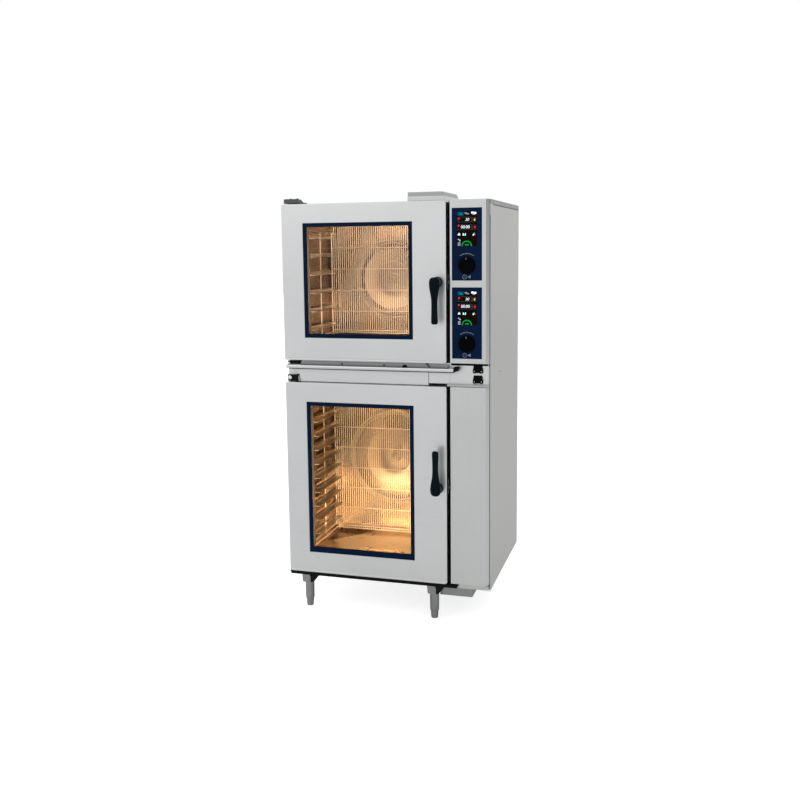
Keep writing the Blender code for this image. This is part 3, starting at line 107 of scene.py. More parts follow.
def make_studio():
    world = bpy.data.worlds.new("studio")
    bpy.context.scene.world = world
    world.use_nodes = True
    tree = world.node_tree
    background = tree.nodes["Background"]
    background.inputs["Strength"].default_value = 1.0
    coords = tree.nodes.new("ShaderNodeTexCoord")
    parts = tree.nodes.new("ShaderNodeSeparateXYZ")
    ramp = tree.nodes.new("ShaderNodeValToRGB")
    path = tree.nodes.new("ShaderNodeLightPath")
    seen = tree.nodes.new("ShaderNodeMix")
    seen.data_type = "RGBA"
    ramp.color_ramp.elements[0].position = 0.30
    ramp.color_ramp.elements[0].color = (0.86, 0.86, 0.85, 1.0)
    ramp.color_ramp.elements[1].position = 0.75
    ramp.color_ramp.elements[1].color = (0.88, 0.89, 0.90, 1.0)
    height = tree.nodes.new("ShaderNodeMapRange")
    height.inputs["From Min"].default_value = -1.0
    tree.links.new(coords.outputs["Generated"], parts.inputs[0])
    tree.links.new(parts.outputs["Z"], height.inputs["Value"])
    tree.links.new(height.outputs["Result"], ramp.inputs["Fac"])
    shade = tree.nodes.new("ShaderNodeMapRange")
    shade.inputs["From Min"].default_value = 0.35
    shade.inputs["To Min"].default_value = 1.0
    shade.inputs["To Max"].default_value = 0.12
    shaded = tree.nodes.new("ShaderNodeVectorMath")
    shaded.operation = "SCALE"
    tree.links.new(parts.outputs["X"], shade.inputs["Value"])
    tree.links.new(shade.outputs["Result"], shaded.inputs["Scale"])
    tree.links.new(ramp.outputs["Color"], shaded.inputs[0])
    tree.links.new(path.outputs["Is Camera Ray"], seen.inputs["Factor"])
    tree.links.new(shaded.outputs["Vector"], seen.inputs["A"])
    seen.inputs["B"].default_value = (1.0, 1.0, 1.0, 1.0)
    tree.links.new(seen.outputs["Result"], background.inputs["Color"])
    make_light("key", (-2.6, -4.2, 3.6), (0.0, -0.3, 1.2), (3.0, 2.0), 11.0)
    make_light("fill", (3.4, -2.6, 2.2), (0.3, 0.0, 1.0), (2.0, 2.6), 14.0)
    bpy.context.scene.view_settings.view_transform = "Standard"


# ---- Working by hand ---------------------------------------------------------------------------------


def deselect():
    if bpy.context.mode != "OBJECT":
        bpy.ops.object.mode_set(mode="OBJECT")
    bpy.ops.object.select_all(action="DESELECT")


def take(piece):
    deselect()
    piece.select_set(True)
    bpy.context.view_layer.objects.active = piece


def edit(piece, kind, everything=False):
    take(piece)
    bpy.ops.object.mode_set(mode="EDIT")
    bpy.ops.mesh.select_mode(type=kind)
    bpy.ops.mesh.select_all(action="SELECT" if everything else "DESELECT")


def choose(piece, kind, test):
    """Picks the faces whose middle and outward way pass the test, or the edges by middle and direction."""
    edit(piece, kind)
    mesh = bmesh.from_edit_mesh(piece.data)
    for part in mesh.faces if kind == "FACE" else mesh.edges:
        if kind == "FACE":
            middle, way = part.calc_center_median(), part.normal
        else:
            start, end = (corner.co for corner in part.verts)
            middle, way = (start + end) / 2, (end - start).normalized()
        if test(middle, way):
            part.select_set(True)
    bmesh.update_edit_mesh(piece.data)


def named(name):
    """Names the new primitive and puts its place, turn and size into its mesh."""
    piece = bpy.context.view_layer.objects.active
    piece.name = name
    piece.data.name = name
    bpy.ops.object.transform_apply(location=True, rotation=True, scale=True)
    return piece


def block(name, low, high):
    low, high = Vector(low), Vector(high)
    deselect()
    bpy.ops.mesh.primitive_cube_add(size=1, location=(low + high) / 2)
    bpy.context.object.scale = high - low
    return named(name)


def rod(name, start, end, radius, sides=16, end_radius=None):
    start, end = Vector(start), Vector(end)
    along = end - start
    deselect()
    bpy.ops.mesh.primitive_cone_add(
        vertices=sides,
        radius1=radius,
        radius2=radius if end_radius is None else end_radius,
        depth=along.length,
        location=(start + end) / 2,
        rotation=along.to_track_quat("Z", "Y").to_euler(),
    )
    return named(name)


def ring(name, centre, axis, radius, tube, steps=64, sides=10):
    """A round bar bent to a full ring about an axis."""
    deselect()
    bpy.ops.mesh.primitive_torus_add(
        location=centre,
        rotation=AXES[axis].to_track_quat("Z", "Y").to_euler(),
        major_radius=radius,
        minor_radius=tube,
        major_segments=steps,
        minor_segments=sides,
    )
    return named(name)


def draw(name, points):
    """A line drawn from point to point, as the start of a swept or turned shape."""
    points = [Vector(point) for point in points]
    deselect()
    bpy.ops.mesh.primitive_plane_add(size=SHEET)
    piece = named(name)
    edit(piece, "VERT", everything=True)
    bpy.ops.mesh.merge(type="CENTER")
    bpy.ops.transform.translate(value=points[0])
    for start, end in zip(points, points[1:]):
        bpy.ops.mesh.extrude_region_move(TRANSFORM_OT_translate={"value": end - start})
    return piece


def close_up(piece):
    """Merges doubled corners and turns every face outwards."""
    bpy.ops.mesh.select_all(action="SELECT")
    bpy.ops.mesh.remove_doubles(threshold=1e-5)
    bpy.ops.mesh.normals_make_consistent(inside=False)
    bpy.ops.object.mode_set(mode="OBJECT")
    return piece


def outline(name, points, pull):
    """A flat closed outline, pulled out to a solid."""
    piece = draw(name, points)
    bpy.ops.mesh.select_all(action="SELECT")
    bpy.ops.mesh.edge_face_add()
    bpy.ops.mesh.extrude_region_move(TRANSFORM_OT_translate={"value": Vector(pull)})
    return close_up(piece)


def turned(name, centre, axis, profile, steps=40, sweep=math.tau, side=None):
    """A profile of (along, radius) points spun about an axis through centre."""
    centre = Vector(centre)
    side = side or (AXES["Y"] if axis == "X" else AXES["X"])
    points = [centre + AXES[axis] * along + side * radius for along, radius in profile]
    piece = draw(name, points)
    if sweep < math.tau:
        bpy.ops.mesh.select_all(action="SELECT")
        bpy.ops.mesh.edge_face_add()
    bpy.ops.mesh.select_all(action="SELECT")
    bpy.ops.mesh.spin(steps=steps, angle=sweep, center=centre, axis=AXES[axis])
    return close_up(piece)


def bent(name, points, radius, closed=False):
    """A wire bent smoothly through its points."""
    curve = bpy.data.curves.new(name, "CURVE")
    curve.dimensions = "3D"
    curve.bevel_depth = radius
    curve.bevel_resolution = 3
    curve.use_fill_caps = True
    spline = curve.splines.new("BEZIER")
    spline.bezier_points.add(len(points) - 1)
    spline.use_cyclic_u = closed
    for knot, point in zip(spline.bezier_points, points):
        knot.co = point
        knot.handle_left_type = knot.handle_right_type = "AUTO"
    wire = bpy.data.objects.new(name, curve)
    bpy.context.scene.collection.objects.link(wire)
    take(wire)
    bpy.ops.object.convert(target="MESH")
    piece = bpy.context.object
    edit(piece, "VERT", everything=True)
    return close_up(piece)


def apply(piece, modifier):
    take(piece)
    bpy.ops.object.modifier_apply(modifier=modifier.name)


def soften(piece, width, segments=2, angle=35.0):
    """Rounds the sharp edges and shades the piece smooth, with its flats kept flat."""
    if width > 0.0:
        modifier = piece.modifiers.new("rounding", "BEVEL")
        modifier.width = width
        modifier.segments = segments
        modifier.limit_method = "ANGLE"
        modifier.angle_limit = math.radians(angle)
        apply(piece, modifier)
    take(piece)
    bpy.ops.object.shade_smooth_by_angle(angle=math.radians(angle + 10.0))
    modifier = piece.modifiers.new("flats", "WEIGHTED_NORMAL")
    modifier.keep_sharp = True
    apply(piece, modifier)
    return piece


def repeat(piece, count, step):
    modifier = piece.modifiers.new("row", "ARRAY")
    modifier.count = count
    modifier.use_relative_offset = False
    modifier.use_constant_offset = True
    modifier.constant_offset_displace = step
    apply(piece, modifier)
    return piece


def copied(piece, change):
    """A copy with its own mesh, moved by a matrix."""
    other = piece.copy()
    other.data = piece.data.copy()
    other.data.transform(change)
    bpy.context.scene.collection.objects.link(other)
    return other


def join(name, *pieces):
    take(pieces[0])
    for piece in pieces[1:]:
        piece.select_set(True)
    if len(pieces) > 1:
        bpy.ops.object.join()
    pieces[0].name = name
    pieces[0].data.name = name
    return pieces[0]


def spread(name, piece, places):
    """Copies of a piece moved by each of these vectors, joined with it into one."""
    others = [copied(piece, Matrix.Translation(place)) for place in places[1:]]
    piece.data.transform(Matrix.Translation(places[0]))
    return join(name, piece, *others)


def spun(name, piece, count, centre, axis):
    """Copies of a piece set round an axis at even angles, joined with it into one."""
    there, back = Matrix.Translation(centre), Matrix.Translation(-Vector(centre))
    others = []
    for index in range(1, count):
        turn = Matrix.Rotation(index * math.tau / count, 4, axis)
        others.append(copied(piece, there @ turn @ back))
    return join(name, piece, *others)


def score(piece, axis, place):
    """Cuts a line across every face, square to an axis."""
    edit(piece, "FACE", everything=True)
    bpy.ops.mesh.bisect(plane_co=AXES[axis] * place, plane_no=AXES[axis])


def score_round(piece, low, high, outward):
    """Cuts lines round the region between low and high, and returns a test for what lies in it."""
    flat = [axis for axis in "XYZ" if abs(AXES[axis].dot(outward)) < 0.5]
    for axis in flat:
        score(piece, axis, low.dot(AXES[axis]))
        score(piece, axis, high.dot(AXES[axis]))

    def inside(middle):
        return all(low.dot(AXES[a]) < middle.dot(AXES[a]) < high.dot(AXES[a]) for a in flat)

    return inside


def hole(piece, low, high, axis):
    """Cuts a straight-sided hole right through along an axis."""
    inside = score_round(piece, Vector(low), Vector(high), AXES[axis])
    choose(piece, "FACE", lambda middle, way: abs(way.dot(AXES[axis])) > 0.9 and inside(middle))
    bpy.ops.mesh.bridge_edge_loops()
    bpy.ops.object.mode_set(mode="OBJECT")


def pocket(piece, low, high, outward, depth, taper=0.0):
    """Sinks, or with a negative depth raises, the part of a face between low and high."""
    outward = Vector(outward)
    inside = score_round(piece, Vector(low), Vector(high), outward)
    choose(piece, "FACE", lambda middle, way: way.dot(outward) > 0.9 and inside(middle))
    if taper:
        bpy.ops.mesh.inset(thickness=taper)
        bpy.ops.transform.translate(value=outward * -depth)
    else:
        bpy.ops.mesh.extrude_region_move(TRANSFORM_OT_translate={"value": outward * -depth})
    bpy.ops.object.mode_set(mode="OBJECT")


def bevel(piece, width, segments, test):
    """Rounds the edges whose middle and direction pass the test."""
    choose(piece, "EDGE", test)
    bpy.ops.mesh.bevel(offset=width, segments=segments, affect="EDGES")
    bpy.ops.object.mode_set(mode="OBJECT")


def round_corners(piece, axis, radius, segments=4, test=None):
    """Rounds the edges that run along an axis."""

    def along(middle, way):
        return abs(way.dot(AXES[axis])) > 0.9 and (test is None or test(middle))

    bevel(piece, radius, segments, along)


def allround(width):
    """The same width sideways and upwards, for a margin round a pane or an opening."""
    return Vector((width, 0, width))


# ---- Finishes ----------------------------------------------------------------------------------------


def finish(name, slot, colour, roughness, metallic=0.0, grain=(90, 90, 90), tint=0.06, polish=0.06,
           relief=0.15, height=0.0002, cloud=5.0, **constants):
    """Colour, roughness and relief that vary with a fine grain and a slow cloud, both on the piece itself."""
    material = bpy.data.materials.new(name)
    material.use_nodes = True
    tree = material.node_tree
    shader = tree.nodes["Principled BSDF"]
    coords = tree.nodes.new("ShaderNodeTexCoord")
    stretch = tree.nodes.new("ShaderNodeMapping")
    stretch.inputs["Scale"].default_value = grain
    fine = tree.nodes.new("ShaderNodeTexNoise")
    fine.inputs["Scale"].default_value = 1.0
    fine.inputs["Detail"].default_value = 5.0
    slow = tree.nodes.new("ShaderNodeTexNoise")
    slow.inputs["Scale"].default_value = cloud
    slow.inputs["Detail"].default_value = 4.0
    both = tree.nodes.new("ShaderNodeMix")
    both.inputs["Factor"].default_value = 0.5
    mix = tree.nodes.new("ShaderNodeMix")
    mix.data_type = "RGBA"
    dark = [max(0.0, part * (1.0 - tint)) for part in colour]
    light = [min(1.0, part * (1.0 + tint)) for part in colour]
    mix.inputs["A"].default_value = (*dark, 1.0)
    mix.inputs["B"].default_value = (*light, 1.0)
    spread_out = tree.nodes.new("ShaderNodeMapRange")
    spread_out.inputs["From Min"].default_value = 0.3
    spread_out.inputs["From Max"].default_value = 0.7
    rough = tree.nodes.new("ShaderNodeMapRange")
    rough.inputs["To Min"].default_value = max(0.0, roughness - polish)
    rough.inputs["To Max"].default_value = roughness + polish
    bump = tree.nodes.new("ShaderNodeBump")
    bump.inputs["Strength"].default_value = relief
    bump.inputs["Distance"].default_value = height
    link = tree.links.new
    link(coords.outputs["Object"], stretch.inputs["Vector"])
    link(coords.outputs["Object"], slow.inputs["Vector"])
    link(stretch.outputs["Vector"], fine.inputs["Vector"])
    link(fine.outputs["Fac"], both.inputs["A"])
    link(slow.outputs["Fac"], both.inputs["B"])
    link(both.outputs["Result"], spread_out.inputs["Value"])
    link(spread_out.outputs["Result"], mix.inputs["Factor"])
    link(spread_out.outputs["Result"], rough.inputs["Value"])
    link(mix.outputs["Result"], shader.inputs["Base Color"])
    link(rough.outputs["Result"], shader.inputs["Roughness"])
    link(fine.outputs["Fac"], bump.inputs["Height"])
    link(bump.outputs["Normal"], shader.inputs["Normal"])
    shader.inputs["Metallic"].default_value = metallic
    for key, value in constants.items():
        shader.inputs[key.replace("_", " ")].default_value = value
    return SimpleNamespace(material=material, slot=slot)


def steel(name, slot, colour, roughness, grain, **constants):
    return finish(name, slot, colour, roughness, 1.0, grain, tint=0.05, polish=0.05, relief=0.06,
                  height=0.0001, cloud=3.0, **constants)


def lamp_finish(name, slot, colour, strength, grain=(200, 200, 200)):
    made = finish(name, slot, colour, 0.35, grain=grain, tint=0.08, Specular_IOR_Level=0.0)
    shader = made.material.node_tree.nodes["Principled BSDF"]
    shader.inputs["Emission Color"].default_value = (*colour, 1.0)
    shader.inputs["Emission Strength"].default_value = strength
    return made


ALONG_X = (8, 900, 900)
ALONG_Y = (900, 8, 900)
ALONG_Z = (900, 900, 8)

FRONT = steel("door_steel_brushed_across", "front_steel", (0.745, 0.75, 0.75), 0.36, ALONG_X)
COLUMN = steel("column_steel_brushed_upright", "front_steel", (0.675, 0.68, 0.677), 0.34, ALONG_Z)
SIDE = steel("side_steel_brushed_upright", "side_steel", (0.61, 0.61, 0.588), 0.42, ALONG_Z)
COVER = steel("cover_steel_brushed_along", "side_steel", (0.36, 0.36, 0.35), 0.40, ALONG_X)
CHAMBER = steel("chamber_steel_heat_tinted", "cavity_steel", (0.34, 0.26, 0.19), 0.22, (30, 30, 30))
RAILS = steel("rail_steel_pressed", "cavity_steel", (0.60, 0.53, 0.45), 0.30, (300, 12, 300))
# Lighter copy of the chamber steel for the floor: painted light where the lamp falls on it
CHAMBER_FLOOR_LIT = steel("chamber_floor_painted_light", "cavity_steel", (0.80, 0.68, 0.53), 0.30, (30, 30, 30))
RACKS = steel("rack_steel_polished", "cavity_steel", (0.80, 0.75, 0.68), 0.34, (300, 12, 300))
GUARD = steel("guard_wire_steel", "cavity_steel", (0.92, 0.88, 0.82), 0.44, (300, 300, 20))
WHEEL = steel("fan_steel_stamped", "plain_steel", (0.52, 0.44, 0.35), 0.30, (60, 60, 60))
CHIMNEY = steel("chimney_band_steel", "front_steel", (0.43, 0.435, 0.43), 0.38, ALONG_X)
# Front steel darkened for the gutter's rear wall: painted shade of the recess behind the drip lip
RECESS_SHADE = steel("gutter_wall_steel_painted_shade", "front_steel", (0.33, 0.335, 0.335), 0.34, ALONG_X)
# Darker copy of the front steel for the ledge: painted shade on its upward face
LEDGE_SHADE = steel("ledge_steel_painted_shade", "front_steel", (0.50, 0.505, 0.50), 0.36, ALONG_X)
HOOD = steel("hood_steel_brushed", "side_steel", (0.68, 0.685, 0.67), 0.36, ALONG_X)
MILL = steel("plain_mill_steel", "plain_steel", (0.36, 0.365, 0.365), 0.32, (120, 120, 120))
# Bright steel for screws, pins and bolt heads, and for the domes that paint glints on the probe covers
BRIGHT = steel("bright_steel_screws_and_glints", "plain_steel", (0.82, 0.82, 0.82), 0.16, (400, 400, 400))
BRACKET = finish("cast_grey_bracket", "bracket_grey", (0.11, 0.112, 0.112), 0.50, 0.7, (420, 420, 420),
                 tint=0.25, polish=0.1, relief=0.45, height=0.0004)
# Near-black steel for the hinge arms, gutter screws and catch, and painted shade on the leg gussets
BLACK_STEEL_AND_SHADE = finish("blacked_steel_and_painted_shade", "bracket_grey", (0.006, 0.006, 0.006), 0.42, 0.2, (420, 420, 420),
                 tint=0.4, polish=0.1, relief=0.4, height=0.0003, Specular_IOR_Level=0.15)
LEG = finish("leg_cast_grey", "bracket_grey", (0.34, 0.345, 0.34), 0.28, 0.9, (380, 380, 380),
             tint=0.12, polish=0.06, relief=0.25, height=0.0002)
MOTOR = finish("motor_die_cast", "motor_aluminium", (0.40, 0.41, 0.42), 0.5, 0.9, (260, 260, 260),
               tint=0.12, relief=0.4, height=0.0004)
HANDLE = finish(
    "handle_moulded_black", "handle_black", (0.0012, 0.0045, 0.0070), 0.30, 0.0, (1100, 1100, 1100), tint=0.4,
    polish=0.07, relief=0.3, height=0.00008, Specular_IOR_Level=0.07
)
KNOB = finish("knob_moulded_black", "handle_black", (0.0006, 0.0009, 0.0012), 0.30, 0.0, (900, 900, 900),
              tint=0.4, polish=0.07, relief=0.25, height=0.00008, Specular_IOR_Level=0.03)
# Matt black for the rubber seals, caps and strips, and for strips that paint shade in gaps
MATT_BLACK = finish("matt_black_rubber_and_painted_shade", "soft_black", (0.004, 0.004, 0.004), 0.72, 0.0, (700, 700, 700),
                tint=0.3, relief=0.3, height=0.0002, Specular_IOR_Level=0.12)
FLAP = finish("cover_rubber_gloss", "soft_black", (0.002, 0.002, 0.0022), 0.26, 0.0, (500, 500, 500),
              tint=0.3, relief=0.12, height=0.0001, Specular_IOR_Level=0.06)
NAVY = finish("window_border_navy", "window_glass", (0.0007, 0.0095, 0.032), 0.12, 0.0, (60, 60, 60),
              tint=0.18, polish=0.03, relief=0.02, height=0.00005, Specular_IOR_Level=0.06)
PANEL = finish("control_glass_navy", "control_glass", (0.0008, 0.0105, 0.044), 0.12, 0.0, (12, 12, 12),
               tint=0.22, polish=0.03, relief=0.01, height=0.00005, cloud=14.0, Specular_IOR_Level=0.06)
PANE = finish("window_clear_glass", "window_glass", (0.78, 0.74, 0.69), 0.004, 0.0, (25, 25, 25),
              tint=0.02, polish=0.004, relief=0.004, height=0.00005, Transmission_Weight=1.0, IOR=1.10)
GREEN = finish("board_green", "board_green", (0.05, 0.20, 0.10), 0.6, 0.0, (300, 300, 300), tint=0.3)
BRASS = finish("spigot_brass", "connection_brass", (0.60, 0.45, 0.20), 0.34, 1.0, (350, 350, 350), tint=0.12)
GLOW = lamp_finish("lamp_glass_warm", "lamp_glass", (1.0, 0.78, 0.50), 25.0)
SCREEN = lamp_finish("screen_dark", "control_glass", (0.0065, 0.0045, 0.0015), 0.2)
INKS = {
    "white": lamp_finish("screen_white", "control_glass", (0.80, 0.84, 0.95), 0.75),
    "grey": lamp_finish("screen_grey", "control_glass", (0.20, 0.21, 0.27), 0.6),
    "rim": lamp_finish("screen_rim", "control_glass", (0.06, 0.07, 0.09), 0.6),
    "teal": lamp_finish("screen_teal", "control_glass", (0.004, 0.045, 0.06), 0.6),
    "cyan": lamp_finish("screen_cyan", "control_glass", (0.0, 0.42, 0.72), 0.8),
    "red": lamp_finish("screen_red", "control_glass", (0.72, 0.01, 0.01), 0.8),
    "yellow": lamp_finish("screen_yellow", "control_glass", (0.72, 0.66, 0.04), 0.7),
    "green": lamp_finish("screen_green", "control_glass", (0.0, 0.26, 0.05), 0.7),
    "lilac": lamp_finish("screen_lilac", "control_glass", (0.36, 0.33, 0.46), 0.7),
}
PRINT = finish("panel_print_pale", "control_glass", (0.30, 0.38, 0.42), 0.5, 0.0, (400, 400, 400), tint=0.1,
               Specular_IOR_Level=0.1)
DARK = finish("dark_inside", "soft_black", (0.004, 0.004, 0.004), 0.85, 0.0, (200, 200, 200), tint=0.3,
              Specular_IOR_Level=0.0)
SPACER = finish("pane_spacer_satin", "cavity_steel", (0.86, 0.74, 0.60), 0.5, 0.0, (300, 300, 300), tint=0.06)


def paint(piece, made):
    piece.data.materials.clear()
    piece.data.materials.append(made.material)
    return piece


def paint_faces(piece, made, test):
    """Gives the faces that pass the test a finish of their own."""
    piece.data.materials.append(made.material)
    choose(piece, "FACE", test)
    piece.active_material_index = len(piece.data.materials) - 1
    bpy.ops.object.material_slot_assign()
    bpy.ops.object.mode_set(mode="OBJECT")


def fit(piece, made, body=TOWER, nodes=()):
    """Finishes a piece, sets the body it moves with and hides the frame's nodes that it stands for."""
    if not piece.data.materials:
        paint(piece, made)
    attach(piece, body)
    if nodes:
        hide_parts(*nodes)
    return piece


def keep(node, made, edge=0.0):
    """Gives a node of the frame its finish and rounds its edges."""
    piece = frame["nodes"][node]
    if not piece.material_slots:
        piece.data.materials.append(made.material)
    for place in piece.material_slots:
        place.material = made.material
    if edge > 0.0:
        weld = piece.modifiers.new("weld", "WELD")
        weld.merge_threshold = 0.00001
        rounding = piece.modifiers.new("rounding", "BEVEL")
        rounding.width = edge
        rounding.segments = 2
        rounding.limit_method = "ANGLE"
        rounding.angle_limit = math.radians(50)


def make_screws(name, places, outward, body=TOWER, radius=0.0042, made=None):
    """Domed screw heads with a round recess, on one side of the tower."""
    outward = Vector(outward)
    head = turned(
        name,
        (0, 0, 0),
        "Z",
        ((-0.001, 0.0), (-0.001, radius), (0.0008, radius), (0.0021, radius * 0.7), (0.0023, radius * 0.45),
         (0.0009, radius * 0.40), (0.0009, 0.0)),
        steps=12,
    )
    head.data.transform(outward.to_track_quat("Z", "Y").to_matrix().to_4x4())
    screws = spread(name, head, [Vector(place) for place in places])
    soften(screws, 0.0)
    return fit(screws, made or BRIGHT, body)


# ---- Doors -------------------------------------------------------------------------------------------

BORDER = 0.0185  # printed border of the outer glass
LOWER_BORDER = {"upper": 0.0195, "lower": 0.0275}
INNER_BORDER = 0.007
DOOR_CORNER = 0.009
DOOR_EDGE = 0.0045
HEM = 0.011


def make_door_skin(deck):
    low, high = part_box(f"{deck}_door_shell")
    pane_low, pane_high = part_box(f"{deck}_outer_glass")
    hub = PLACES[f"{deck}_handle_turn"]
    skin = block(f"{deck}_door_skin", low, high)
    round_corners(skin, "Y", DOOR_CORNER)
    bevel(skin, DOOR_EDGE, 3, lambda middle, way: abs(way.y) < 0.5)
    hole(skin, pane_low - allround(FIT), pane_high + allround(FIT), "Y")
    latch_low, latch_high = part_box(f"{deck}_latch")
    sweep = latch_high.x - hub.x
    slot_low = Vector((0, hub.y + 0.028, hub.z - sweep * 0.68))
    slot_high = Vector((0, hub.y + 0.040, hub.z + sweep * 0.68))
    pocket(skin, slot_low, slot_high, (1, 0, 0), 0.012)
    groove = low.z + HEM
    pocket(
        skin,
        (low.x + DOOR_CORNER * 2, 0, groove),
        (high.x - DOOR_CORNER * 2, 0, groove + 0.0012),
        (0, -1, 0),
        0.0012,
    )
    soften(skin, 0.0009, 2)
    fit(skin, FRONT, f"{deck}_door", [f"{deck}_door_shell"])


def make_door_trim(deck):
    """The folded hem, the frame round the inner glass and the clips that hold it."""
    low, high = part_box(f"{deck}_door_shell")
    pane_low, pane_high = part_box(f"{deck}_inner_glass")
    door = f"{deck}_door"
    hem = block(
        f"{deck}_door_hem",
        (low.x + DOOR_CORNER, low.y - 0.0007, low.z + 0.0006),
        (high.x - DOOR_CORNER, low.y + 0.004, low.z + HEM - 0.001),
    )
    round_corners(hem, "X", 0.0018, 3)
    fit(soften(hem, 0.0006), FRONT, door)
    outer_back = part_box(f"{deck}_outer_glass")[1].y
    reach = allround(FIT)
    spacer = block(
        f"{deck}_pane_spacer",
        (pane_low.x - FIT, outer_back + FIT, pane_low.z - FIT),
        (pane_high.x + FIT, pane_low.y - FIT, pane_high.z + FIT),
    )
    rim = allround(0.003)
    hole(spacer, pane_low + rim - reach, pane_high - rim + reach, "Y")
    fit(soften(spacer, 0.0006), SPACER, door)
    wide = allround(0.016)
    inner_frame = block(
        f"{deck}_inner_glass_frame",
        (pane_low.x - wide.x, high.y - 0.002, pane_low.z - wide.z),
        (pane_high.x + wide.x, high.y + 0.0026, pane_high.z + wide.z),
    )
    round_corners(inner_frame, "Y", 0.012)
    thin = allround(0.004)
    hole(inner_frame, pane_low + thin, pane_high - thin, "Y")
    fit(soften(inner_frame, 0.001), RACKS, door)
    clip = block(f"{deck}_glass_clips", (-0.012, high.y + 0.002, -0.006), (0.012, high.y + 0.0065, 0.006))
    pocket(clip, (-0.006, 0, -0.003), (0.006, 0, 0.003), (0, 1, 0), 0.002, taper=0.001)
    soften(clip, 0.0014)
    places = []
    for x in (pane_low.x + 0.05, pane_high.x - 0.05):
        for z in (pane_low.z + 0.002, pane_high.z - 0.002):
            places.append(Vector((x, 0, z)))
    fit(spread(f"{deck}_glass_clips", clip, places), MILL, door)
    knuckle_places = [(pane_low.x - 0.008, high.y + 0.0026, z) for z in (pane_low.z + 0.1, pane_high.z - 0.1)]
    make_screws(f"{deck}_inner_frame_screws", knuckle_places, (0, 1, 0), door, 0.0035)


def make_window(name, node, body, made, printed, border_low, border_high):
    """A clear pane with a printed border, which the second finish covers."""
    low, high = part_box(node)
    pane = block(name, low, high)
    clear_low, clear_high = low + border_low, high - border_high
    inside = score_round(pane, clear_low, clear_high, AXES["Y"])
    paint(pane, PANE)
    paint_faces(pane, printed, lambda middle, way: not (inside(middle) and abs(way.y) > 0.9))
    fit(soften(pane, 0.0008), made, body, [node])


def make_glass(deck):
    door = f"{deck}_door"
    lower_border = Vector((BORDER, 0, LOWER_BORDER[deck]))
    make_window(
        f"{deck}_outer_window", f"{deck}_outer_glass", door, NAVY, NAVY, lower_border, allround(BORDER)
    )
    edge = allround(INNER_BORDER)
    make_window(f"{deck}_inner_window", f"{deck}_inner_glass", door, PANE, SPACER, edge, edge)


# The lever from its fat end to its free end: distance from the hub's axis, half width, half thickness
LEVER = (
    (-0.0235, 0.0100, 0.0075),
    (-0.0190, 0.0188, 0.0125),
    (-0.0100, 0.0240, 0.0148),
    (0.0040, 0.0255, 0.0155),
    (0.0220, 0.0242, 0.0150),
    (0.0420, 0.0205, 0.0138),
    (0.0640, 0.0158, 0.0122),
    (0.0920, 0.0138, 0.0110),
    (0.1300, 0.0144, 0.0106),
    (0.1700, 0.0160, 0.0104),
    (0.1840, 0.0158, 0.0098),
    (0.1890, 0.0110, 0.0064),
)


def make_handle(deck):
    low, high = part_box(f"{deck}_handle")
    hub = PLACES[f"{deck}_handle_turn"]
    way = -1 if deck == "upper" else 1
    depth = low.y + LEVER[3][2]
    deselect()
    start = LEVER[0]
    bpy.ops.mesh.primitive_circle_add(
        vertices=20, radius=1.0, fill_type="NGON", location=(hub.x, depth, hub.z + way * start[0])
    )
    bpy.context.object.scale = (start[1], start[2], 1.0)
    lever = named(f"{deck}_lever_handle")
    edit(lever, "FACE", everything=True)
    for (along, wide, thick), (next_along, next_wide, next_thick) in zip(LEVER, LEVER[1:]):
        move = (0, 0, way * (next_along - along))
        bpy.ops.mesh.extrude_region_move(TRANSFORM_OT_translate={"value": move})
        bpy.ops.transform.resize(
            value=(next_wide / wide, next_thick / thick, 1.0),
            center_override=(hub.x, depth, hub.z + way * next_along),
        )
    close_up(lever)
    choose(lever, "FACE", lambda middle, normal: normal.y < -0.55 and abs(middle.x - hub.x) < 0.013)
    bpy.ops.mesh.inset(thickness=0.0016, depth=-0.0006)
    bpy.ops.object.mode_set(mode="OBJECT")
    smooth = lever.modifiers.new("smooth", "SUBSURF")
    smooth.levels = 2
    smooth.render_levels = 2
    apply(lever, smooth)
    bpy.ops.object.shade_smooth()
    foot = high.y - hub.y
    neck = depth - hub.y
    stem = turned(
        f"{deck}_handle_hub",
        hub,
        "Y",
        ((foot, 0.0), (foot, 0.0238), (foot - 0.002, 0.0245), (foot - 0.008, 0.0245), (foot - 0.010, 0.0218),
         (foot - 0.018, 0.0208), (neck + 0.006, 0.0208), (neck, 0.0222), (neck, 0.0)),
        steps=48,
    )
    soften(stem, 0.0008)
    fit(join(f"{deck}_lever_handle", lever, stem), HANDLE, f"{deck}_handle", [f"{deck}_handle"])
    keep(f"{deck}_latch", BRACKET, 0.0006)


# ---- Chambers ----------------------------------------------------------------------------------------

SEAL_WIDTH = 0.012
CHAMBER_CORNER = 0.012
DRAIN_LEFT, DRAIN_RIGHT = -0.170, -0.010
DRAIN_FRONT, DRAIN_BACK = 0.145, 0.262  # behind the door's face
DRAIN_RINGS = (0.021, 0.014, 0.007)


def chamber_box(deck):
    """Inside of the chamber, from the flange's front to the rear wall."""
    low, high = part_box(f"{deck}_door_gasket")
    inset = allround(SEAL_WIDTH + SHEET)
    whole_low, whole_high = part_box(f"{deck}_cavity")
    low, high = low + inset, high - inset
    low.y, high.y = whole_low.y, whole_high.y - SHEET
    return low, high


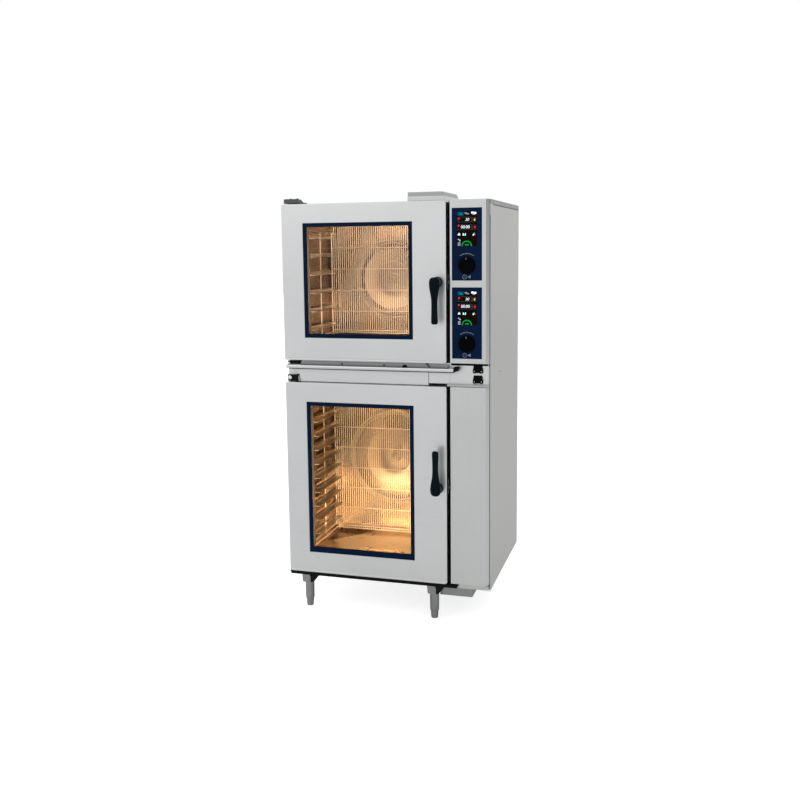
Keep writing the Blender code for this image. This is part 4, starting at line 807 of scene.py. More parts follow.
def make_chamber(deck):
    low, high = chamber_box(deck)
    flange_low, flange_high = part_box(f"{deck}_cavity")
    liner = block(f"{deck}_chamber", low, high)
    choose(liner, "FACE", lambda middle, way: way.y < -0.9)
    bpy.ops.mesh.delete(type="FACE")
    bevel(liner, CHAMBER_CORNER, 4, lambda middle, way: middle.y > low.y + SHEET)
    choose(liner, "FACE", lambda middle, way: way.z < -0.9)
    bpy.ops.mesh.inset(thickness=0.045)
    bpy.ops.transform.translate(value=(0, 0, -0.003))
    bpy.ops.object.mode_set(mode="OBJECT")
    drain_low = Vector((DRAIN_LEFT, DOOR_FACE + DRAIN_FRONT, 0))
    drain_high = Vector((DRAIN_RIGHT, DOOR_FACE + DRAIN_BACK, 0))
    pocket(liner, drain_low, drain_high, (0, 0, -1), -0.009)
    wall = liner.modifiers.new("wall", "SOLIDIFY")
    wall.thickness = SHEET
    wall.offset = 1.0
    apply(liner, wall)
    soften(liner, 0.0007, 2)
    paint(liner, CHAMBER)
    # The floor's upward faces get the lighter steel, which paints the lamp's light on them
    paint_faces(liner, CHAMBER_FLOOR_LIT, lambda middle, way: way.z > 0.5 and middle.z < low.z + 0.02)
    flange = block(
        f"{deck}_flange", flange_low, (flange_high.x, flange_low.y + SHEET, flange_high.z)
    )
    mouth = allround(SHEET)
    hole(flange, low - mouth, high + mouth, "Y")
    centre = (low + high) / 2
    reach = (high - low) / 2 + allround(0.01)
    round_corners(
        flange,
        "Y",
        CHAMBER_CORNER + SHEET,
        4,
        lambda middle: abs(middle.x - centre.x) < reach.x and abs(middle.z - centre.z) < reach.z,
    )
    paint(soften(flange, 0.0004), CHAMBER)
    fit(join(f"{deck}_chamber", liner, flange), CHAMBER, TOWER, [f"{deck}_cavity"])
    middle = (drain_low + drain_high) / 2
    drain = Vector((middle.x, middle.y, low.z - 0.0105))
    rings = [ring(f"{deck}_drain_strainer", drain, "Z", radius, 0.0012, 32, 6) for radius in DRAIN_RINGS]
    bar = rod("bar", drain, drain + Vector((DRAIN_RINGS[0], 0, 0)), 0.0011, 6)
    bars = spun(f"{deck}_strainer_bars", bar, 8, drain, "Z")
    fit(join(f"{deck}_drain_strainer", *rings, bars), RACKS)
    # A matt black disc under the strainer paints the shade down the drain hole
    well = turned(
        f"{deck}_drain_well_shade",
        drain,
        "Z",
        ((0.0006, 0.0), (0.0006, 0.020), (0.001, 0.024), (-0.0006, 0.024), (-0.0006, 0.0)),
        steps=32,
    )
    fit(soften(well, 0.0), DARK)


LEVELS = {"upper": 6, "lower": 10}
RAIL_WEB = 0.016
RAIL_LIP = 0.014


def make_rack(deck, side):
    node = f"{deck}_{side}_rack"
    low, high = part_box(node)
    inward = 1 if side == "left" else -1
    wall_side = low.x if side == "left" else high.x
    post_x = wall_side + inward * 0.004
    first = low.z + 0.045
    pitch = (high.z - 0.040 - first) / (LEVELS[deck] - 1)
    wide = 0.75 * (high.x - low.x)
    points = []
    for across, rise in (
        (0.002, -SHEET), (wide, -SHEET), (wide, 0.0), (0.002 + SHEET, 0.0), (0.002 + SHEET, RAIL_WEB - SHEET),
        (RAIL_LIP, RAIL_WEB - SHEET), (RAIL_LIP, RAIL_WEB), (0.002, RAIL_WEB),
    ):
        points.append((wall_side + inward * across, low.y, first + rise))
    rail = outline(f"{node}_rails", points, (0, high.y - low.y, 0))
    soften(rail, 0.0005)
    repeat(rail, LEVELS[deck], (0, 0, pitch))
    front, rear = low.y + 0.008, high.y - 0.008
    wires = [rod(node, (post_x, y, low.z), (post_x, y, high.z - 0.006), 0.004, 12) for y in (front, rear)]
    for z in (low.z + 0.004, high.z - 0.008):
        wires.append(rod(node, (post_x, front, z), (post_x, rear, z), 0.0035, 12))
    for y in (front, rear):
        hook = [
            (post_x, y, high.z - 0.008),
            (post_x - inward * 0.003, y, high.z - 0.003),
            (post_x - inward * 0.010, y, high.z - 0.003),
            (post_x - inward * 0.014, y, high.z - 0.010),
        ]
        wires.append(bent(node, hook, 0.003))
    middle = (front + rear) / 2
    wires.append(rod(node, (post_x, middle, low.z), (post_x, middle, high.z - 0.006), 0.003, 12))
    frame_piece = soften(join(f"{node}_posts", *wires), 0.0)
    fit(join(f"{node}_hung", paint(rail, RAILS), paint(frame_piece, RACKS)), RACKS, TOWER, [node])


GUARD_PITCH = 0.0115
CROSS_TOP = {"upper": 0.0145, "lower": 0.0035}  # from the guard's top edge to its first cross wire
CROSS_PITCH = 0.1097


def make_guard(deck):
    node = f"{deck}_fan_guard"
    low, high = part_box(node)
    radius = 0.0022
    y = low.y + 0.0024
    count = int((high.x - low.x - 0.012) / GUARD_PITCH)
    start = (low.x + high.x) / 2 - (count - 1) / 2 * GUARD_PITCH
    upright = rod(
        f"{node}_rods", (start, y + 0.0044, low.z + 0.002), (start, y + 0.0044, high.z - 0.002), radius, 8
    )
    repeat(upright, count, (GUARD_PITCH, 0, 0))
    crosses = []
    heights = [low.z + 0.004, low.z + 0.017]
    z = high.z - CROSS_TOP[deck]
    while z > low.z + 0.03:
        heights.append(z)
        z -= CROSS_PITCH
    for z in heights:
        crosses.append(rod(node, (low.x, y, z), (high.x, y, z), 0.0024, 10))
    feet = []
    for x in (low.x + 0.006, high.x - 0.006):
        for z in (low.z + 0.05, high.z - 0.05):
            feet.append(
                turned(
                    node,
                    (x, y, z),
                    "Y",
                    ((-0.0024, 0.0), (-0.0024, 0.006), (-0.001, 0.008), (0.002, 0.008), (0.004, 0.004),
                     (0.030, 0.004), (0.030, 0.0)),
                    steps=20,
                )
            )
    wires = join(f"{node}_wires", upright, *crosses, *feet)
    fit(soften(wires, 0.0), GUARD, TOWER, [node])


BLADES = 24
BLADE_PIVOT = 0.12
BLADE_LEAN = math.radians(28)
WHEEL_DEPTH = 0.055


def make_fan(deck):
    node = f"{deck}_fan_wheel"
    low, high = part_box(node)
    hub = PLACES[f"{deck}_fan_spin"]
    centre = Vector((hub.x, low.y, hub.z))
    radius = (high.x - low.x) / 2
    deep = WHEEL_DEPTH
    back_disc = deep - 0.003
    disc = turned(
        node, centre, "Y",
        (
            (0.020, 0.0), (0.020, 0.010), (0.024, 0.013), (0.034, 0.013), (0.034, 0.022),
            (back_disc - 0.004, 0.026), (back_disc, 0.036), (back_disc, radius), (deep, radius),
            (deep, 0.008), (high.y - low.y, 0.008), (high.y - low.y, 0.0)
        ),
        steps=64,
    )
    soften(disc, 0.0006)
    mouth = turned(
        node,
        centre,
        "Y",
        ((0.0, 0.082), (0.0, 0.086), (0.004, 0.090), (0.006, 0.100), (0.006, radius), (0.0045, radius),
         (0.0045, 0.100), (0.0025, 0.0915), (0.0, 0.082)),
        steps=64,
    )
    soften(mouth, 0.0)
    blade = block(node, (0.086, 0.0055, -0.001), (radius - 0.004, back_disc + 0.001, 0.001))
    soften(blade, 0.0004)
    there, back = Matrix.Translation((BLADE_PIVOT, 0, 0)), Matrix.Translation((-BLADE_PIVOT, 0, 0))
    blade.data.transform(Matrix.Translation(centre) @ there @ Matrix.Rotation(BLADE_LEAN, 4, "Y") @ back)
    blades = spun(node, blade, BLADES, centre, "Y")
    nut = rod(node, centre + Vector((0, 0.013, 0)), centre + Vector((0, 0.022, 0)), 0.0085, 6)
    soften(nut, 0.0008)
    wheel = join(f"{deck}_fan", disc, mouth, blades, nut)
    fit(wheel, WHEEL, f"{deck}_fan", [node])
    keep(f"{deck}_fan_motor", MOTOR, 0.002)


def make_heater(deck):
    node = f"{deck}_ring_heater"
    low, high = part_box(node)
    hub = PLACES[f"{deck}_fan_spin"]
    tube = 0.0045
    radius = (high.x - low.x) / 2 - tube
    rings = []
    for index, y in enumerate((low.y + tube, low.y + tube + 0.011, low.y + tube + 0.022)):
        reach = radius if index != 1 else radius - 0.014
        rings.append(ring(node, (hub.x, y, hub.z), "Y", reach, tube, 80, 10))
    clamp = block(node, (radius - 0.022, 0.0, -0.006), (radius + 0.006, 0.0315, -0.004))
    soften(clamp, 0.0005)
    clamp.data.transform(Matrix.Translation((hub.x, low.y, hub.z)))
    clamps = spun(node, clamp, 6, hub, "Y")
    leads = []
    for index in (-1, 0, 1):
        x = hub.x + index * 0.016
        leads.append(
            rod(node, (x, low.y + tube, hub.z + radius), (x, high.y, hub.z + radius), tube * 0.9, 12)
        )
    heater = join(f"{deck}_heater", *rings, clamps, *leads)
    fit(soften(heater, 0.0), WHEEL, TOWER, [node])


def make_lamp(deck):
    node = f"{deck}_cavity_lamp"
    low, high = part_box(node)
    centre = Vector(((low.x + high.x) / 2, (low.y + high.y) / 2, high.z))
    dome = turned(
        f"{deck}_lamp_dome",
        centre,
        "Z",
        ((0.0, 0.0), (0.0, 0.024), (-0.004, 0.024), (-0.008, 0.021), (-0.011, 0.014), (-0.012, 0.0)),
    )
    fit(soften(dome, 0.001), GLOW, TOWER, [node])
    rim = turned(
        f"{deck}_lamp_rim",
        centre,
        "Z",
        ((0.0, 0.0235), (0.0, 0.030), (-0.003, 0.030), (-0.0065, 0.0275), (-0.0065, 0.0245), (-0.003, 0.0235),
         (0.0, 0.0235)),
    )
    fit(soften(rim, 0.0005), RACKS)


def make_gasket(deck):
    node = f"{deck}_door_gasket"
    low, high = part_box(node)
    inner = allround(SEAL_WIDTH)
    dark_band = block(f"{deck}_door_seal", low, high)
    round_corners(dark_band, "Y", 0.016)
    hole(dark_band, low + inner, high - inner, "Y")
    choose(dark_band, "FACE", lambda middle, way: way.y < -0.9)
    bpy.ops.mesh.inset(thickness=0.003)
    bpy.ops.transform.translate(value=(0, 0.004, 0))
    choose(
        dark_band, "FACE", lambda middle,
        way: abs(way.y) < 0.1 and (
            way.x > 0.9 or abs(way.z) > 0.9 or way.x < -0.9
        ) and abs(middle.y - (low.y + high.y) / 2) < 0.01
    )
    bpy.ops.mesh.inset(thickness=0.006, depth=-0.0015)
    bpy.ops.object.mode_set(mode="OBJECT")
    fit(soften(dark_band, 0.0012), MATT_BLACK, TOWER, [node])


LAMPS = {
    "upper": {"colour": (1.0, 0.79, 0.62), "power": 2.6, "floor_share": 0.4},
    "lower": {"colour": (1.0, 0.70, 0.40), "power": 3.4, "floor_share": 1.2},
}


def make_chamber_light(deck, colour, power, floor_share):
    """The lamp's own light, and the soft light that the polished walls throw back from behind the door."""
    low, high = chamber_box(deck)
    middle = (low + high) / 2
    tall = high.z - low.z
    lamp_low, lamp_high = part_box(f"{deck}_cavity_lamp")
    spot = Vector(((lamp_low.x + lamp_high.x) / 2, (lamp_low.y + lamp_high.y) / 2, lamp_low.z - 0.012))
    make_light(f"{deck}_lamp_light", spot, (middle.x, middle.y, low.z), (0.06, 0.06), power, colour)
    sides = (
        ("left", low.x + 0.035, middle.z, (0.4, 0, 0), (0.06, 0.8 * tall), 0.2),
        ("right", high.x - 0.035, middle.z, (-0.5, 0, 0), (0.06, 0.8 * tall), 0.8),
        ("top", middle.x, high.z - 0.035, (0, 0, -0.25), (0.5, 0.06), 0.3),
        ("bottom", middle.x, low.z + 0.12, (0, 0, -0.12), (0.5, 0.10), floor_share),
    )
    for name, x, z, aside, size, share in sides:
        place = Vector((x, low.y + 0.012, z))
        aim = Vector((x, high.y, z)) + Vector(aside)
        make_light(f"{deck}_{name}_light", place, aim, size, power * share, colour)


# ---- Control column ----------------------------------------------------------------------------------

CHAMFER = 0.0175
# Places on the screen, as shares of its width from the left and of its height from the top
BOXES = (
    ("teal", 0.02, 0.02, 0.34, 0.135),
    ("cyan", 0.06, 0.035, 0.24, 0.075),
    ("cyan", 0.12, 0.07, 0.27, 0.105),
    ("grey", 0.39, 0.035, 0.50, 0.085),
    ("grey", 0.47, 0.06, 0.60, 0.10),
    ("white", 0.71, 0.02, 0.84, 0.075),
    ("white", 0.86, 0.03, 0.96, 0.085),
    ("lilac", 0.78, 0.08, 0.90, 0.11),
    ("yellow", 0.84, 0.225, 0.90, 0.28),
    ("red", 0.885, 0.20, 0.925, 0.235),
    ("red", 0.85, 0.435, 0.915, 0.495),
    ("white", 0.045, 0.655, 0.165, 0.69),
    ("white", 0.08, 0.625, 0.13, 0.66),
    ("white", 0.29, 0.63, 0.33, 0.70),
    ("cyan", 0.33, 0.655, 0.41, 0.70),
    ("white", 0.40, 0.63, 0.44, 0.70),
    ("white", 0.78, 0.66, 0.85, 0.70),
    ("cyan", 0.82, 0.625, 0.88, 0.655),
    ("red", 0.87, 0.65, 0.925, 0.69),
    ("lilac", 0.045, 0.785, 0.10, 0.82),
    ("lilac", 0.11, 0.81, 0.18, 0.86),
    ("lilac", 0.04, 0.895, 0.175, 0.915),
    ("lilac", 0.04, 0.93, 0.175, 0.95),
    ("lilac", 0.04, 0.965, 0.175, 0.985),
    ("green", 0.395, 0.945, 0.58, 0.98),
)
RIMS = (
    (0.045, 0.168, 0.73, 0.315),
    (0.77, 0.185, 0.945, 0.315),
    (0.045, 0.385, 0.74, 0.535),
    (0.77, 0.40, 0.945, 0.535),
)
DOTS = ((0.10, 0.215), (0.09, 0.415))
DIGITS = (("30", 0.50, 0.245, 0.0175, 0.25), ("00:00", 0.42, 0.455, 0.0185, 0.0))
SCREEN_LEFT = 0.0234
SCREEN_TOP = 0.0145
SCREEN_SIZE = (0.0922, 0.155)
PRINT_DEPTH = 0.0003


def digits(name, words, place, size, lean):
    deselect()
    bpy.ops.object.text_add(location=place, rotation=(math.pi / 2, 0, 0))
    text = bpy.context.object
    text.data.body = words
    text.data.size = size
    text.data.shear = lean
    text.data.extrude = PRINT_DEPTH
    text.data.align_x = "CENTER"
    text.data.align_y = "CENTER"
    bpy.ops.object.convert(target="MESH")
    return named(name)


def make_screen(deck):
    """The display's symbols: generic tiles, dots, digits and a dial."""
    low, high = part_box(f"{deck}_control_glass")
    left, top = low.x + SCREEN_LEFT, high.z - SCREEN_TOP
    wide, tall = SCREEN_SIZE
    screen = block(
        f"{deck}_screen", (left, low.y - PRINT_DEPTH, top - tall), (left + wide, low.y + PRINT_DEPTH, top)
    )
    round_corners(screen, "Y", 0.0012, 2)
    fit(soften(screen, 0.0001), SCREEN)
    front = low.y - 2 * PRINT_DEPTH

    def spot(u, v):
        return Vector((left + u * wide, front, top - v * tall))

    marks = []

    def tile(ink, u0, v0, u1, v1, corner=0.0012):
        start, end = spot(u0, v1), spot(u1, v0)
        mark = block("tile", start, end + Vector((0, 2 * PRINT_DEPTH, 0)))
        if corner:
            round_corners(mark, "Y", min(corner, 0.4 * (end.z - start.z), 0.4 * (end.x - start.x)), 2)
        marks.append(paint(mark, INKS[ink]))

    for box in BOXES:
        tile(*box)
    line_u, line_v = 0.012, 0.0065
    for u0, v0, u1, v1 in RIMS:
        tile("rim", u0, v0, u1, v0 + line_v, 0)
        tile("rim", u0, v1 - line_v, u1, v1, 0)
        tile("rim", u0, v0, u0 + line_u, v1, 0)
        tile("rim", u1 - line_u, v0, u1, v1, 0)
    for u, v in DOTS:
        middle = spot(u, v)
        dot = rod("dot", middle, middle + Vector((0, 2 * PRINT_DEPTH, 0)), 0.0042, 16)
        marks.append(paint(dot, INKS["red"]))
    for words, u, v, size, lean in DIGITS:
        marks.append(paint(digits("digits", words, spot(u, v), size, lean), INKS["white"]))
    dial = spot(0.485, 1.0)
    arc = turned(
        "dial",
        dial,
        "Y",
        ((0.0, 0.0195), (0.0, 0.0240), (2 * PRINT_DEPTH, 0.0240), (2 * PRINT_DEPTH, 0.0195)),
        steps=32,
        sweep=math.pi,
    )
    marks.append(paint(arc, INKS["green"]))
    tip = dial + Vector((0, 0, 0.0165))
    corners = [tip, tip + Vector((0.0035, 0, 0.005)), tip + Vector((-0.0035, 0, 0.005))]
    marks.append(paint(outline("pointer", corners, (0, 2 * PRINT_DEPTH, 0)), INKS["green"]))
    fit(join(f"{deck}_screen_symbols", *marks), INKS["white"])


def make_panel_print(deck):
    """Ticks round the knob, and the clock and bell symbols under it."""
    low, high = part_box(f"{deck}_control_glass")
    knob = PLACES[f"{deck}_knob_turn"]
    face = low.y - PRINT_DEPTH
    marks = []
    count = 17
    for index in range(count):
        angle = math.radians(-34 + 68 * index / (count - 1))
        length = 0.0052 if index % 4 == 0 else 0.0034
        mark = block("tick", (-0.0009, face, 0.0505), (0.0009, low.y + PRINT_DEPTH, 0.0505 + length))
        mark.data.transform(Matrix.Translation((knob.x, 0, knob.z)) @ Matrix.Rotation(angle, 4, "Y"))
        marks.append(mark)
    clock = Vector((knob.x - 0.0098, low.y, knob.z - 0.052))
    marks.append(
        turned("clock", clock, "Y", ((-PRINT_DEPTH, 0.0088), (-PRINT_DEPTH, 0.0102), (PRINT_DEPTH, 0.0102),
                                     (PRINT_DEPTH, 0.0088), (-PRINT_DEPTH, 0.0088)), steps=32)
    )
    for end in ((0.0, 0.006), (0.0045, -0.002)):
        marks.append(rod("hand", clock, clock + Vector((end[0], 0, end[1])), 0.0005, 6))
    bell = Vector((knob.x + 0.0012, face, knob.z - 0.052))
    marks.append(
        block("link", bell - Vector((0, 0, 0.0006)), bell + Vector((0.008, 2 * PRINT_DEPTH, 0.0006)))
    )
    corners = [
        bell + Vector((0.004, 0, 0)), bell + Vector((0.0125, 0, -0.0055)), bell + Vector((0.0125, 0, 0.0055))
    ]
    marks.append(outline("bell", corners, (0, 2 * PRINT_DEPTH, 0)))
    marks.append(
        block("bar", bell + Vector((0.0138, 0, -0.0075)), bell + Vector((0.0158, 2 * PRINT_DEPTH, 0.0075)))
    )
    fit(join(f"{deck}_panel_print", *marks), PRINT)


def make_controls(deck):
    node = f"{deck}_control_glass"
    low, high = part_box(node)
    glass = block(f"{deck}_control_panel", low, high)
    round_corners(glass, "Y", 0.0015, 3)
    fit(soften(glass, 0.0009), PANEL, TOWER, [node])
    make_screen(deck)
    make_panel_print(deck)
    knob = PLACES[f"{deck}_knob_turn"]
    foot = 0.0180
    cap = turned(
        f"{deck}_selector_knob", knob, "Y",
        (
            (foot, 0.0), (foot, 0.0385), (foot - 0.0015, 0.0390), (0.0070, 0.0375), (0.0028, 0.0360),
            (0.0008, 0.0335), (0.0, 0.0305), (0.0004, 0.0285), (0.0014, 0.0270), (0.0016, 0.0)
        ),
        steps=72,
    )
    soften(cap, 0.0)
    rib = block("rib", (0.0362, 0.0075, -0.0006), (0.0390, 0.0160, 0.0006))
    rib.data.transform(Matrix.Translation(knob))
    ribs = soften(spun("ribs", rib, 48, knob, "Y"), 0.0002, 1)
    pointer = block("pointer", (-0.0009, -0.0001, 0.0250), (0.0009, 0.003, 0.0345))
    pointer.data.transform(Matrix.Translation(knob))
    soften(pointer, 0.0003)
    paint(cap, KNOB)
    paint(ribs, KNOB)
    paint(pointer, PRINT)
    fit(join(f"{deck}_selector_knob", cap, ribs, pointer), KNOB, f"{deck}_knob", [f"{deck}_knob"])


def column_points(node):
    low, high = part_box(node)
    return [
        (low.x, high.y, low.z),
        (low.x, low.y, low.z),
        (high.x - CHAMFER, low.y, low.z),
        (high.x, low.y + CHAMFER, low.z),
        (high.x, high.y, low.z),
    ]


def make_columns():
    for node, name in (
        ("control_column", "control_column_skin"), ("lower_column_panel", "lower_column_skin")
    ):
        low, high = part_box(node)
        skin = outline(name, column_points(node), (0, 0, high.z - low.z))
        round_corners(skin, "Z", 0.0025, 3, lambda middle: middle.y < low.y + CHAMFER + 0.002)
        if node == "control_column":
            for deck in DECKS:
                glass_low, glass_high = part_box(f"{deck}_control_glass")
                gap = allround(FIT)
                pocket(skin, glass_low - gap, glass_high + gap, (0, -1, 0), glass_high.y - glass_low.y + FIT)
        soften(skin, 0.0012, 2, 30.0)
        fit(skin, COLUMN, TOWER, [node])
    for deck, node in (("upper", "control_column"), ("lower", "lower_column_panel")):
        low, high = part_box(node)
        door_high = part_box(f"{deck}_door_shell")[1]
        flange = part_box(f"{deck}_cavity")[0].y
        # The lip on the column's side stands for its seal; the black strip across the back of the door gap
        # paints the deep shade there
        lip = block("lip", (low.x - 0.0016, low.y + 0.008, low.z), (low.x, high.y, high.z))
        strip = block("strip", (door_high.x - 0.002, flange - 0.0012, low.z), (low.x - 0.002, flange, high.z))
        soften(lip, 0.0004)
        soften(strip, 0.0004)
        fit(join(f"{deck}_column_seal_and_gap_shade", lip, strip), MATT_BLACK)
    low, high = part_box("lower_column_panel")
    slot = block(
        "column_lift_slot",
        (high.x - 0.0045, low.y + CHAMFER - 0.004, low.z - 0.018),
        (high.x + 0.0004, low.y + CHAMFER + 0.002, low.z + 0.004),
    )
    fit(soften(slot, 0.0008), MATT_BLACK)


# ---- Between the doors -------------------------------------------------------------------------------

GUTTER_PROFILE = (
    (0.0400, 0.0160), (0.0400, 0.0000), (0.0065, 0.0000), (0.0020, 0.0020), (0.0002, 0.0065),
    (0.0000, 0.0110), (0.0006, 0.0145), (0.0024, 0.0160), (0.0044, 0.0158), (0.0056, 0.0142),
    (0.0044, 0.0138), (0.0024, 0.0140), (0.0016, 0.0110), (0.0018, 0.0070), (0.0034, 0.0034),
    (0.0072, 0.0016), (0.0385, 0.0016), (0.0385, 0.0160),
)


GUTTER_WALL_RIGHT = 0.3085
GUTTER_SCREWS = (-0.210, -0.001)
GUTTER_SCREW_HEIGHT = 1.2375
STOP_ACROSS, STOP_HEIGHT = 0.099, 1.230
# The catch wire: across, behind the channel's rear edge, and height
CATCH_WIRE = (
    (0.198, 0.004, 1.2460), (0.204, -0.003, 1.2475), (0.212, -0.009, 1.2420), (0.220, -0.010, 1.2345)
)


def make_gutter():
    low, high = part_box("drip_gutter")
    end = 0.020
    points = [(low.x, low.y + y, low.z + z) for y, z in GUTTER_PROFILE]
    channel = outline("drip_channel", points, (high.x - low.x - end, 0, 0))
    soften(channel, 0.0)
    rear = low.y + 0.0400
    wall_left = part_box("middle_hinge_bracket")[1].x + 0.002
    # The rear wall takes the darkened recess steel, which paints the shade behind the lip
    wall = block("drip_wall", (wall_left, rear - SHEET, low.z + 0.010), (GUTTER_WALL_RIGHT, rear, high.z))
    round_corners(wall, "Y", 0.003, 2)
    pieces = paint(channel, FRONT), paint(soften(wall, 0.0005), RECESS_SHADE)
    fit(join("drip_gutter_channel", *pieces), FRONT, TOWER, ["drip_gutter"])
    caps = (
        ("gutter_left_cap", low.x, 0.004, 0.016, FRONT),
        ("gutter_right_cap", high.x - end, end, 0.024, MATT_BLACK)
    )
    for name, x, thick, tall, made in caps:
        cap = outline(
            name,
            [(x, low.y, low.z + 0.002), (x, low.y + 0.006, low.z), (x, rear, low.z), (x, rear, low.z + tall),
             (x, low.y + 0.5 * tall, low.z + tall), (x, low.y, low.z + 0.013)],
            (thick, 0, 0),
        )
        if made is MATT_BLACK:
            choose(cap, "FACE", lambda middle, way: way.x > 0.9)
            bpy.ops.transform.resize(value=(1, 0.75, 0.75), center_override=(high.x, rear, low.z + tall))
            bpy.ops.object.mode_set(mode="OBJECT")
        fit(soften(cap, 0.0016), made)
    screw_y = rear - SHEET - 0.0005
    places = [(x, screw_y, GUTTER_SCREW_HEIGHT) for x in GUTTER_SCREWS]
    make_screws("gutter_screws", places, (0, -1, 0), radius=0.0042, made=BLACK_STEEL_AND_SHADE)
    # A matt black strip under the channel paints the shadow line beneath the lip
    dark_band = block(
        "gutter_shadow_strip", (low.x + 0.012, low.y + 0.007, low.z - 0.003), (high.x - end, rear - 0.004, low.z)
    )
    fit(soften(dark_band, 0.0006), MATT_BLACK)
    stop = turned(
        "gutter_stop",
        (STOP_ACROSS, rear - SHEET, STOP_HEIGHT),
        "Y",
        ((0.001, 0.0), (0.001, 0.012), (-0.003, 0.0125), (-0.009, 0.0110), (-0.0135, 0.0065), (-0.0145, 0.0)),
    )
    fit(soften(stop, 0.0), HANDLE)
    wire = [(x, rear + behind, z) for x, behind, z in CATCH_WIRE]
    fit(soften(bent("gutter_catch", wire, 0.0019), 0.0), BLACK_STEEL_AND_SHADE)


FASCIA_REACH = 0.0050  # past the column's right side
LEDGE_REACH = 0.0185  # in front of the fascia


def make_between():
    """Stacking frame and fascia, with their seams, and the ledge in front of the fascia."""
    keep("stacking_frame", FRONT, 0.0012)
    low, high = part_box("socket_fascia")
    column_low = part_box("control_column")[0]
    shelf = block("fascia_sheet", low, (high.x + FASCIA_REACH, high.y, column_low.z - 0.002))
    pocket(
        shelf, (high.x - 0.0022, 0, low.z + 0.002), (high.x - 0.0010, 0, high.z - 0.003), (0, -1, 0), 0.0015
    )
    pocket(shelf, (column_low.x - 0.006, 0, low.z + 0.004), (column_low.x - 0.0045, 0, high.z - 0.008),
           (0, -1, 0), 0.0015)
    soften(shelf, 0.0016)
    head_low = Vector((column_low.x, low.y, high.z - 0.012))
    head = block("fascia_head", head_low, high + Vector((FASCIA_REACH, 0, 0)))
    soften(head, 0.0006)
    fit(join("socket_fascia_sheet", shelf, head), FRONT, TOWER, ["socket_fascia"])
    door_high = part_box("lower_door_shell")[1]
    ledge_low = (door_high.x + 0.002, low.y - LEDGE_REACH, door_high.z + 0.0015)
    # The ledge takes the darkened steel, which paints shade on its top face
    ledge = block("fascia_ledge", ledge_low, (high.x + FASCIA_REACH, high.y, low.z))
    fit(soften(ledge, 0.0012), LEDGE_SHADE)


# One side of the flap from its top: distance from its middle, and height as a share of its own
FLAP_SIDE = (
    (0.0190, 0.0), (0.0208, -0.25), (0.0232, -0.52), (0.0242, -0.78), (0.0228, -0.93), (0.0180, -1.0),
    (0.0125, -0.985), (0.0080, -0.94),
)


def make_flap(deck):
    node = f"{deck}_socket_flap"
    low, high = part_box(node)
    middle = (low.x + high.x) / 2
    tall = high.z - low.z
    points = [(middle + x, low.y, high.z + z * tall) for x, z in FLAP_SIDE]
    points += [(middle - x, low.y, high.z + z * tall) for x, z in reversed(FLAP_SIDE)]
    body = outline(f"{deck}_probe_cover", points, (0, high.y - low.y, 0))
    soften(body, 0.0013, 3)
    lid = block(
        "lid", (middle - 0.0125, low.y - 0.0016, high.z - 0.72 * tall),
        (middle + 0.0125, low.y + 0.001, high.z - 0.10 * tall)
    )
    round_corners(lid, "Y", 0.004, 3)
    soften(lid, 0.0007)
    lip = block(
        "lip", (middle - 0.0165, low.y - 0.0024, low.z + 0.0030),
        (middle + 0.0165, low.y + 0.001, low.z + 0.0062)
    )
    round_corners(lip, "Y", 0.0014, 3)
    soften(lip, 0.0006)
    hinge = rod(
        "hinge", (middle - 0.017, low.y + 0.0022, high.z - 0.0022),
        (middle + 0.017, low.y + 0.0022, high.z - 0.0022), 0.0021, 14
    )
    soften(hinge, 0.0003)
    pieces = [paint(part, FLAP) for part in (body, lid, lip, hinge)]
    # Small bright steel domes at the lower corners paint the glints on the cover's rounded corners
    for way in (-1, 1):
        x = middle + way * 0.0165
        profile = ((0.001, 0.0), (0.001, 0.0022), (-0.0006, 0.0019), (-0.0011, 0.0))
        corner_glint = turned("corner_glint", (x, low.y, low.z + 0.0100), "Y", profile, steps=14)
        pieces.append(paint(soften(corner_glint, 0.0), BRIGHT))
    fit(join(f"{deck}_probe_cover", *pieces), FLAP, f"{deck}_flap", [node])


HINGE_PIN = 0.006
BALL_HEAD = (
    (0.003, 0.0), (0.003, 0.0080), (0.0, 0.0080), (-0.0045, 0.0070), (-0.0078, 0.0042), (-0.0088, 0.0)
)
BOLT_HEAD = (
    (0.003, 0.0), (0.003, 0.0110), (-0.001, 0.0110), (-0.0045, 0.0098), (-0.0070, 0.0070), (-0.0082, 0.0036),
    (-0.0084, 0.0),
)


